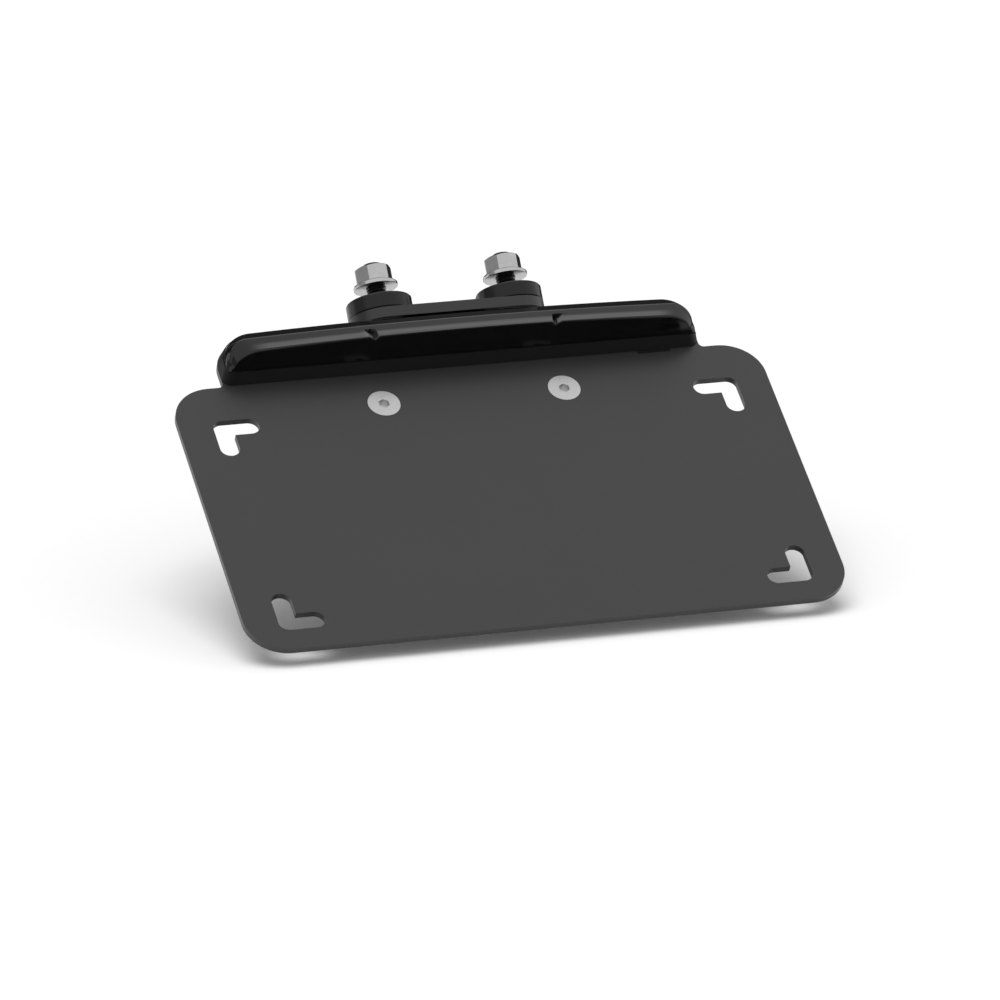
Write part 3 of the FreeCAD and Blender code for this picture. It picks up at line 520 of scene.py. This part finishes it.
# %% Blackened metal
def blackened(name, dark, light, rough, gloss, streak):
    """A dark skin on metal, streaked along the axis by handling."""
    finish = Finish(name)
    cloud = noise(finish, 260.0, detail=4.0, roughness=0.6)
    grain = noise(finish, 3000.0)
    place = finish.add("ShaderNodeTexCoord").part("Object")
    streaks = drawn_noise(finish, place, (1.0, 1.0, 0.04), 420.0)
    return surface(finish, {
        "Base Color": blend(finish, cloud * 0.4 + streaks * 0.6, dark, light),
        "Metallic": 0.0,
        "Roughness": rough + (streaks - 0.5) * streak + (grain - 0.5) * 0.1,
        "Normal": bump(finish, grain + streaks * 6.0, 0.000006),
        "IOR": gloss,
    })


stud_black = blackened(
    "stud_black", grey(0.003), grey(0.008), rough=0.38, gloss=1.4, streak=0.1)
spacer_black = blackened(
    "spacer_black", grey(0.001), grey(0.010), rough=0.26, gloss=1.38, streak=0.3)
print("black metals:", stud_black.name, spacer_black.name)

# %% [markdown]
# A knife-sharp edge never catches light, and no real edge is knife sharp. A copy of a CAD node is
# loose triangles, so its doubles are merged first and its flat faces joined; then every edge
# that turns more than a set angle gets a narrow bevel.

# %% Copies with broken edges
SAME_POINT = 0.000001
FLAT_TURN = math.radians(0.4)
SHARP_TURN = math.radians(28.0)


def merged(node):
    """A joined mesh from a CAD node's loose triangles."""
    mesh = bmesh.new()
    mesh.from_mesh(nodes[node].data)
    bmesh.ops.remove_doubles(mesh, verts=mesh.verts, dist=SAME_POINT)
    bmesh.ops.dissolve_limit(mesh, angle_limit=FLAT_TURN, verts=mesh.verts, edges=mesh.edges)
    return mesh


def break_edges(mesh, width):
    """Bevel the edges that turn more than an angle, and count them."""
    sharp = [edge for edge in mesh.edges
             if len(edge.link_faces) == 2 and edge.calc_face_angle() > SHARP_TURN]
    bmesh.ops.bevel(mesh, geom=sharp, offset=width, offset_type="OFFSET", affect="EDGES",
                    segments=2, profile=0.5, material=-1, clamp_overlap=True)
    return len(sharp)


print("edges are broken above", round(math.degrees(SHARP_TURN)), "degrees")

# %% [markdown]
# A mesh becomes a piece of the model in one place. Smooth shading with sharp edges kept is what
# a painted or turned part needs, and weighted normals keep its large faces flat beside their
# bevels. Each piece rides on the body, takes a slot's finish and stands for its CAD node.


# %% From mesh to piece
def finished(mesh, name, material, stands_for, smooth_angle=32.0):
    """Make a piece of a mesh, with its finish, and let it stand for its CAD node."""
    data = bpy.data.meshes.new(name)
    mesh.to_mesh(data)
    mesh.free()
    data.materials.append(material)
    data.shade_smooth()
    data.set_sharp_from_angle(angle=math.radians(smooth_angle))
    piece = bpy.data.objects.new(name, data)
    bpy.context.scene.collection.objects.link(piece)
    flatten = piece.modifiers.new("flat_faces", "WEIGHTED_NORMAL")
    flatten.keep_sharp = True
    flatten.weight = 100
    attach(piece, "root")
    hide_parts(stands_for)
    print(name, "faces:", len(data.polygons))


# %% [markdown]
# The carrier's sheet is cut by laser or press, and the bracket is sawn and welded. Their edges
# are eased before they are coated. Both keep the CAD model's shape, so a copy with broken edges
# is enough. The bracket's edges are a little rounder.

# %% Plate and bracket
plate = merged("plate_carrier")
print("plate edges broken:", break_edges(plate, 0.00025))
finished(plate, "plate_sheet", plate_coat, "plate_carrier")

bracket = merged("mounting_bracket")
print("bracket edges broken:", break_edges(bracket, 0.0003))
finished(bracket, "welded_bracket", bracket_coat, "mounting_bracket")

# %% [markdown]
# The tray of the light bar shows only as a dark rim round the lens and as its back. A moulded
# edge is crisper than a coated one, so its bevel is narrow.

# %% Light bar's tray
housing = merged("lightbar_housing")
print("housing edges broken:", break_edges(housing, 0.00015))
finished(housing, "bar_housing", housing_plastic, "lightbar_housing")

# %% [markdown]
# The lens is a bowed shell whose bands run over the top and wrap round both ends down to the
# foot. Bevelling the CAD solid would leave facets at the ends, so the lens is lofted. Four lines
# run along it: crease, face, ridge and seat. Each line is straight, then turns a corner, then
# drops to the foot, and a mark from 0 to 3 says how far along it a point lies.

# %% Lines of the lens
LENS_HALF = 0.0737
LENS_FOOT = 0.0541
SEAT_LEVEL = 0.0039
BOW = 1.3
CREASE_UP = 0.0564

# For each line: how far it stands in from the end, its height up the plate, its corner's radius
# along the bar and up it, and how far out it lies in the middle and at its foot. The second row
# is how much each of these changes per metre that the skin is inset.
LENS_LINES = {
    "crease": ((0.0018, CREASE_UP, 0.0080, 0.0021, 0.0, 0.0),
               (0.0, 1.0, -1.0, 0.0, 0.0, 0.0)),
    "face": ((0.0011, 0.0615, 0.0055, 0.0045, 0.0118, 0.0044),
             (0.0, 0.0, -1.0, -0.5, -1.0, 0.0)),
    "ridge": ((0.0004, 0.06594, 0.0085, 0.0075, 0.0093, 0.0043),
              (0.0, -0.83, -1.0, -1.0, -0.6, 0.0)),
    "seat": ((0.0, 0.06834, 0.0100, 0.0100, 0.0, 0.0),
             (0.0, -1.1, -1.0, -1.0, 0.0, 0.0)),
}


def lens_line(name, inset, marks):
    """Points of one line of the lens, from the middle to its foot at the right end."""
    row = [start + change * inset for start, change in zip(*LENS_LINES[name])]
    stands_in, top, round_x, round_up, level, end_level = row
    half = LENS_HALF - inset - stands_in
    foot = LENS_FOOT + inset
    points = []
    for mark in marks:
        if mark <= 1.0:
            x, up, fall = (half - round_x) * mark, top, 0.0
        elif mark <= 2.0:
            angle = (mark - 1.0) * math.pi / 2
            x = half - round_x + round_x * math.sin(angle)
            up = top - round_up + round_up * math.cos(angle)
            fall = (mark - 1.0) / 2
        else:
            x, up = half, (top - round_up) + (foot - top + round_up) * (mark - 2.0)
            fall = 0.5 + (mark - 2.0) / 2
        smooth = fall * fall * (3.0 - 2.0 * fall)
        bowed = level - x * x / (2 * BOW)
        points.append(Vector((x, up, bowed * (1.0 - smooth) + end_level * smooth)))
    return points


ridge_end = lens_line("ridge", 0.0, [3.0])[0]
print("ridge ends at:", [round(value, 4) for value in ridge_end])

# %% [markdown]
# A section joins the four lines from the foot over the crease and the face to the seat. Two
# small notches in the front edge are the ticks of the photograph, and a fine groove runs along
# the foot and the seat. The left half is the right half mirrored.

# %% Sections of the lens
CREASE_OUT = 0.0125
SAG_REACH = 0.06
CREASE_DROP = 0.00055
CREASE_FADE = 0.00025
FOOT_SPREAD = 1.015
GROOVE = 0.0003
TICK_HALF = 0.0006
TICK_DEPTH = 0.0013


def lens_sections(inset, marks):
    """Sections of one skin of the lens, from its left foot to its right foot."""
    outside = inset == 0.0
    foot_up = LENS_FOOT + inset
    lines = [lens_line(name, inset, marks) for name in ("crease", "face", "ridge", "seat")]
    sections = []
    for crease, face, ridge, seat in zip(*lines):
        rise = (crease.y - foot_up) / (CREASE_UP - LENS_FOOT)
        sag = (crease.x / SAG_REACH) ** 2
        crease.y -= CREASE_DROP * sag * rise
        bowed = CREASE_OUT - inset - crease.x ** 2 / (2 * BOW) - CREASE_FADE * sag
        crease.z = SEAT_LEVEL + rise * (bowed - SEAT_LEVEL)
        seat.z = SEAT_LEVEL
        foot = Vector((min(crease.x * FOOT_SPREAD, LENS_HALF - inset), foot_up, SEAT_LEVEL))
        low, high = crease.lerp(face, 0.62), crease.lerp(face, 0.66)
        if outside and abs(crease.x - TICK_X) < TICK_HALF:
            crease.z -= TICK_DEPTH
            low.z -= TICK_DEPTH
        near_foot, near_seat = foot.lerp(crease, 0.04), ridge.lerp(seat, 0.93)
        if outside:
            foot.y += GROOVE
            seat.y -= GROOVE
        sections.append([foot, near_foot, crease, low, high, face, ridge, near_seat, seat])
    left = [[Vector((-p.x, p.y, p.z)) for p in section] for section in reversed(sections[1:])]
    return left + sections


print("crease stands out by mm:", 1000 * CREASE_OUT)

# %% [markdown]
# Moulded plastic has no sharp corner. A bevel on the finished loft would tangle where its bands
# narrow, so each section is softened first: a corner becomes a short curve, cut as wide as the
# light on the real lens shows. The cuts go from the foot to the seat. One flaw is left: close to
# the foot at both ends, where the bands get very narrow, some faces of each skin cross.

# %% Softened sections
CURVE_STEPS = 4
MOST_OF_SIDE = 0.45
NO_LENGTH = 1e-6
CORNER_CUTS = (0.00005, 0.0006, 0.00002, 0.00002, 0.0005, 0.0012, 0.00005)


def softened(corners):
    """A section whose inner corners are rounded, each by its own cut."""
    points = [corners[0]]
    for before, here, after, cut in zip(corners, corners[1:], corners[2:], CORNER_CUTS):
        towards_before, towards_after = before - here, after - here
        back = min(MOST_OF_SIDE, cut / max(towards_before.length, NO_LENGTH))
        on = min(MOST_OF_SIDE, cut / max(towards_after.length, NO_LENGTH))
        start, end = here + towards_before * back, here + towards_after * on
        for step in range(CURVE_STEPS + 1):
            part = step / CURVE_STEPS
            points.append(start.lerp(here, part).lerp(here.lerp(end, part), part))
    return points + [corners[-1]]


print("corners to a section:", len(CORNER_CUTS))

# %% [markdown]
# The marks put more sections where the lens turns, and a close pair near each edge of a tick. A
# Solidify modifier would thicken the lens unevenly at its ends, so a second, inset skin is
# lofted inside and both are joined along the foot and the seat. STRAIGHT turns a place along
# the bar into a mark: it lies between the straight lengths of the crease and the face. On the
# crease the pairs are therefore a little off, and a tick's outer flank is wider than its inner.

# %% Lens
STRAIGHT_STEPS = 36
CORNER_STEPS = 24
END_STEPS = 5
STRAIGHT = 0.0656
TICK_FLANK = 0.00008
LENS_WALL = 0.0020


def lens_marks():
    """Marks along the lens, close together at the ticks and at the corner."""
    straight = [step / STRAIGHT_STEPS for step in range(STRAIGHT_STEPS)]
    for edge in (TICK_X - TICK_HALF, TICK_X + TICK_HALF):
        straight += [(edge - TICK_FLANK) / STRAIGHT, (edge + TICK_FLANK) / STRAIGHT]
    round_corner = [1.0 + step / CORNER_STEPS for step in range(CORNER_STEPS + 1)]
    to_foot = [2.0 + step / END_STEPS for step in range(1, END_STEPS + 1)]
    return sorted(straight) + round_corner + to_foot


def shell_between(mesh, outer, inner):
    """Close two lofted skins into one solid shell, joined along foot and seat."""
    skins = []
    for sections in (outer, inner):
        skins.append([[mesh.verts.new(point) for point in section] for section in sections])
    for skin in skins:
        for left, right in zip(skin, skin[1:]):
            for low in range(len(left) - 1):
                mesh.faces.new((left[low], right[low], right[low + 1], left[low + 1]))
        for end in (skin[0], skin[-1]):
            mesh.faces.new(end)
    outside, inside = skins
    for row in (0, -1):
        for index in range(len(outside) - 1):
            mesh.faces.new((outside[index][row], outside[index + 1][row],
                            inside[index + 1][row], inside[index][row]))
    for end in (0, -1):
        mesh.faces.new((outside[end][0], outside[end][-1], inside[end][-1], inside[end][0]))
    bmesh.ops.recalc_face_normals(mesh, faces=mesh.faces)


marks = lens_marks()
lens = bmesh.new()
shell_between(lens, [softened(section) for section in lens_sections(0.0, marks)],
              [softened(section) for section in lens_sections(LENS_WALL, marks)])
lens.transform(on_plate(0.0, 0.0, 0.0))
finished(lens, "bar_lens", lens_smoke, "lightbar_lens", smooth_angle=60.0)

# %% [markdown]
# The studs are the carrier's working parts, and their threads show between spacer and nut. One
# turn of thread is a short zigzag line; bmesh spin carries it round and up at once, which is
# how a thread is cut. The ends are then cut square and closed.

# %% Cutting square
CUT_SNAP = 0.0000001
AT_CUT = 0.00001


def cut_square(mesh, height, up):
    """Cut a mesh square to its axis, drop what lies beyond and close the cut."""
    everything = mesh.verts[:] + mesh.edges[:] + mesh.faces[:]
    bmesh.ops.bisect_plane(mesh, geom=everything, dist=CUT_SNAP, plane_co=(0, 0, height),
                           plane_no=(0, 0, up), clear_outer=True)
    rim = [edge for edge in mesh.edges if edge.is_boundary
           and all(abs(vert.co.z - height) < AT_CUT for vert in edge.verts)]
    bmesh.ops.holes_fill(mesh, edges=rim, sides=0)


def add_part(mesh, part):
    """Move a finished part into a mesh."""
    data = bpy.data.meshes.new("part")
    part.to_mesh(data)
    part.free()
    mesh.from_mesh(data)
    bpy.data.meshes.remove(data)


print("cuts snap within mm:", 1000 * CUT_SNAP)

# %% [markdown]
# The thread's crest and root are narrow flats, as on a rolled thread. Its depth is 0.6 of the
# pitch, close to the standard metric form, and each turn has enough steps to look round.

# %% Threads
THREAD_STEPS = 24
THREAD_DEPTH = 0.6
SAME_THREAD_POINT = 0.000002


def thread(mesh, radius, pitch, low, high):
    """A closed length of thread round the local Z axis."""
    depth = pitch * THREAD_DEPTH
    profile = ((depth, 0.0), (depth, 0.12), (0.0, 0.44), (0.0, 0.56), (depth, 0.88), (depth, 1.0))
    part = bmesh.new()
    line = [part.verts.new((radius - inward, 0.0, low - pitch + rise * pitch))
            for inward, rise in profile]
    for first, second in zip(line, line[1:]):
        part.edges.new((first, second))
    turns = math.ceil((high - low) / pitch) + 2
    bmesh.ops.spin(part, geom=part.verts[:] + part.edges[:], cent=(0, 0, 0), axis=(0, 0, 1),
                   dvec=(0, 0, pitch / THREAD_STEPS), angle=2 * math.pi * turns,
                   steps=THREAD_STEPS * turns)
    bmesh.ops.remove_doubles(part, verts=part.verts, dist=SAME_THREAD_POINT)
    cut_square(part, low, -1.0)
    cut_square(part, high, 1.0)
    bmesh.ops.recalc_face_normals(part, faces=part.faces)
    add_part(mesh, part)


print("steps in a turn of thread:", THREAD_STEPS)

# %% [markdown]
# Spacers and nuts are turned or pressed round an axis. Spinning one profile is enough for a
# spacer, but a nut's flats change with the angle. So a body is a loop of rings, and each ring
# follows a rule that gives its radius and height at any angle.


# %% Bodies from rings
def ring(radius, height):
    """A round ring, as a rule that gives radius and height at any angle."""
    return lambda angle: (radius, height)


def wheel(mesh, rules, steps):
    """A closed body whose section is a loop of rings, each ring following its own rule."""
    rows = []
    for rule in rules:
        row = []
        for step in range(steps):
            angle = 2 * math.pi * step / steps
            radius, height = rule(angle)
            row.append(mesh.verts.new((radius * math.cos(angle), radius * math.sin(angle), height)))
        rows.append(row)
    for row, next_row in zip(rows, rows[1:] + rows[:1]):
        for step in range(steps):
            following = (step + 1) % steps
            mesh.faces.new((row[step], row[following], next_row[following], next_row[step]))
    bmesh.ops.recalc_face_normals(mesh, faces=mesh.faces)


print("a ring's rule gives:", ring(0.01, 0.0)(0.0))

# %% [markdown]
# A flange nut is a hexagon with rounded corners on a sloping washer. The press leaves a 30
# degree chamfer round its crown, which cuts the flats in curves, and the flange's cone meets
# the flats in curves too. Rules for both curves follow from the hexagon's own rule.

# %% Flange nut
NUT_FLAT = 0.0050
NUT_CORNER = 0.00567
NUT_HEIGHT = 0.0066
CROWN_RADIUS = 0.0048
CROWN_SLOPE = math.tan(math.radians(30.0))
FLANGE_RADIUS = 0.00675
FLANGE_RIM = 0.0011
FLANGE_RISE = 0.0009
NUT_BORE = ((0.0029, 0.0004), (0.0029, 0.0061), (0.0033, 0.0065), (0.0034, NUT_HEIGHT),
            (CROWN_RADIUS, NUT_HEIGHT))
NUT_RIM = ((0.00655, 0.00122), (0.00668, 0.0011), (FLANGE_RADIUS, 0.0009),
           (FLANGE_RADIUS, 0.0003), (0.00668, 0.0001), (0.0065, 0.0), (0.0033, 0.0))


def hexagon(angle):
    """Distance from the axis to a hexagon with a rounded corner on the X axis."""
    turn = math.radians(60.0)
    return min(NUT_FLAT / math.cos(angle % turn - turn / 2), NUT_CORNER)


def crown(angle):
    """Where the hexagon's flats meet the crown's chamfer."""
    radius = hexagon(angle)
    return radius, NUT_HEIGHT - (radius - CROWN_RADIUS) * CROWN_SLOPE


def waist(angle):
    """Where the hexagon's flats meet the flange's cone."""
    radius = hexagon(angle)
    slope = FLANGE_RISE / (FLANGE_RADIUS - NUT_FLAT)
    return radius, FLANGE_RIM + (FLANGE_RADIUS - radius) * slope


def flange_nut_rings():
    """The rings of a flange nut, from its bore over the crown and down to its underside."""
    bore, rim = [[ring(*point) for point in points] for points in (NUT_BORE, NUT_RIM)]
    return bore + [crown, waist] + rim


print("hexagon across its rounded corners:", round(2000 * hexagon(0.0), 2), "mm")

# %% [markdown]
# Below the pad's face a stud keeps the shape of its CAD node, and above it the thread takes
# over. The tip is a small domed cap, turned from a profile, over the end of the thread.

# %% Studs
STUD_X = 0.0205
STUD_CUT = -0.0050
STUD_EDGE = 0.00012
STUD_RADIUS = 0.00295
STUD_PITCH = 0.001
STUD_THREAD = (-0.0053, 0.0115)
STUD_TIP = ((0.0027, 0.0112), (0.0029, 0.0114), (0.0029, 0.0117), (0.0026, 0.0119),
            (0.0018, 0.01198), (0.0, 0.0120))
TURNED_STEPS = 64
SAME_TURNED_POINT = 0.0000005


def lathe(mesh, profile):
    """Turn a profile of (radius, height) points once round the local Z axis."""
    line = [mesh.verts.new((radius, 0.0, height)) for radius, height in profile]
    edges = [mesh.edges.new(pair) for pair in zip(line, line[1:])]
    bmesh.ops.spin(mesh, geom=line + edges, cent=(0, 0, 0), axis=(0, 0, 1),
                   angle=2 * math.pi, steps=TURNED_STEPS, use_merge=True)
    bmesh.ops.remove_doubles(mesh, verts=mesh.verts, dist=SAME_TURNED_POINT)


def make_stud(side, stand):
    """A blackened stud with its thread and domed tip."""
    stud = merged("stud_screw_" + side)
    stud.transform(stand.inverted())
    cut_square(stud, STUD_CUT, 1.0)
    break_edges(stud, STUD_EDGE)
    thread(stud, STUD_RADIUS, STUD_PITCH, *STUD_THREAD)
    tip = bmesh.new()
    lathe(tip, STUD_TIP)
    bmesh.ops.recalc_face_normals(tip, faces=tip.faces)
    add_part(stud, tip)
    stud.transform(stand)
    finished(stud, "threaded_stud_" + side, stud_black, "stud_screw_" + side)


print("studs stand apart by mm:", 2000 * STUD_X)

# %% [markdown]
# Under each nut stands a turned spacer, a thick washer with chamfered rims. Above it is the gap
# that takes the motorcycle's own sheet, and then the nut, bright against all the black.

# %% Spacers and flange nuts
CLAMP_GAP = 0.0042
SPACER_STEPS = 96
NUT_STEPS = 120
SPACER_SECTION = (
    (0.00355, 0.0), (0.0094, 0.0), (0.0097, -0.00006), (0.0100, -0.00045), (0.0100, -0.00455),
    (0.0097, -0.00494), (0.0094, -0.0050), (0.00355, -0.0050), (0.00325, -0.0047),
    (0.00325, -0.0003),
)


def make_spacer(side, stand):
    """A turned spacer on the bracket's pad."""
    spacer = bmesh.new()
    wheel(spacer, [ring(radius, height) for radius, height in SPACER_SECTION], SPACER_STEPS)
    spacer.transform(stand)
    finished(spacer, "turned_spacer_" + side, spacer_black, "spacer_" + side)


def make_flange_nut(side, seat):
    """A zinc-plated flange nut."""
    nut = bmesh.new()
    wheel(nut, flange_nut_rings(), NUT_STEPS)
    nut.transform(seat)
    name = "nut_zinc_" + side
    zinc = bright_zinc(name, seat, rough=0.16, dark=grey(0.40), light=grey(0.53, 0.01))
    finished(nut, "hex_flange_nut_" + side, zinc, "flange_nut_" + side)


SIDES = (("left", -1.0), ("right", 1.0))
for side, sign in SIDES:
    stand = Matrix.Translation((sign * STUD_X, 0.0, 0.0))
    make_stud(side, stand)
    make_spacer(side, stand)
    make_flange_nut(side, Matrix.Translation((sign * STUD_X, 0.0, CLAMP_GAP)))

# %% [markdown]
# Two countersunk screws hold the plate to the bracket's leg. Their heads lie flush in the front
# face, and their threads show behind the plate, under plain nuts. The CAD nodes give head,
# socket and nut, and only the thread is made here.

# %% Screws and nuts on the plate
PLATE_SCREW_X = 0.0283
PLATE_SCREW_UP = 0.0401
SCREW_CUT = -0.0030
SCREW_EDGE = 0.0001
SCREW_RADIUS = 0.00245
SCREW_PITCH = 0.0008
SCREW_THREAD = (-0.0100, -0.0029)
PLAIN_NUT_EDGE = 0.0002


def make_plate_screw(side, spot):
    """A countersunk screw, flush with the plate's front."""
    name = "screw_zinc_" + side
    zinc = bright_zinc(name, spot, rough=0.30, dark=grey(0.50), light=grey(0.60, 0.01))
    screw = merged("plate_screw_" + side)
    screw.transform(spot.inverted())
    cut_square(screw, SCREW_CUT, -1.0)
    break_edges(screw, SCREW_EDGE)
    thread(screw, SCREW_RADIUS, SCREW_PITCH, *SCREW_THREAD)
    screw.transform(spot)
    finished(screw, "flush_screw_" + side, zinc, "plate_screw_" + side)


def make_plate_nut(side, spot):
    """A plain nut behind the bracket's leg."""
    plain = merged("plate_nut_" + side)
    break_edges(plain, PLAIN_NUT_EDGE)
    name = "plate_nut_zinc_" + side
    zinc = bright_zinc(name, spot, rough=0.28, dark=grey(0.54), light=grey(0.66, 0.01))
    finished(plain, "plain_nut_" + side, zinc, "plate_nut_" + side)


print("plate screws stand apart by mm:", 2000 * PLATE_SCREW_X)

# %% [markdown]
# The light bar is held from behind by two small screws through the tab. Only their heads show,
# so a copy with broken edges is enough. All screws are made here, side by side.

# %% Screws of the light bar
BAR_SCREW_X = 0.048
BAR_SCREW_UP = 0.0623


def make_bar_screw(side, spot):
    """A screw that holds the light bar from behind."""
    name = "bar_screw_zinc_" + side
    zinc = bright_zinc(name, spot, rough=0.30, dark=grey(0.50), light=grey(0.60, 0.01))
    rear = merged("lightbar_screw_" + side)
    break_edges(rear, SCREW_EDGE)
    finished(rear, "bar_screw_" + side, zinc, "lightbar_screw_" + side)


for side, sign in SIDES:
    spot = on_plate(sign * PLATE_SCREW_X, PLATE_SCREW_UP, 0.0)
    make_plate_screw(side, spot)
    make_plate_nut(side, spot)
    make_bar_screw(side, on_plate(sign * BAR_SCREW_X, BAR_SCREW_UP, 0.0))

# %% [markdown]
# A rubber grommet lines the slot in the tab, under the bar's right end. Its rubber is painted
# nearly black, a painted shade for the shadow in the slot, so it shows as a dark slit.
# Rubber is moulded with soft lips, so its bevel is wide for its size.

# %% Grommet
grommet = merged("cable_grommet")
break_edges(grommet, 0.0002)
finished(grommet, "rubber_grommet", grommet_rubber, "cable_grommet")

# %% [markdown]
# Gasket, circuit board, emitters and baffles are closed in between tray and lens. Nobody sees
# them until the lens is taken off, so the CAD solids stay as they are and only get a finish.

# %% Inside the light bar
inside_finishes = (
    ("lens_gasket", gasket_rubber),
    ("led_board", board_mask),
    ("led_emitters", emitter_body),
    ("light_baffle_left", baffle_plastic),
    ("light_baffle_right", baffle_plastic),
)
for node, material in inside_finishes:
    nodes[node].data.materials.clear()
    nodes[node].data.materials.append(material)
print("inner nodes finished:", len(inside_finishes))

# %% [markdown]
# The view transform is Standard, because a film-like one would grey the white background.

# %% View transform
bpy.context.scene.view_settings.view_transform = "Standard"
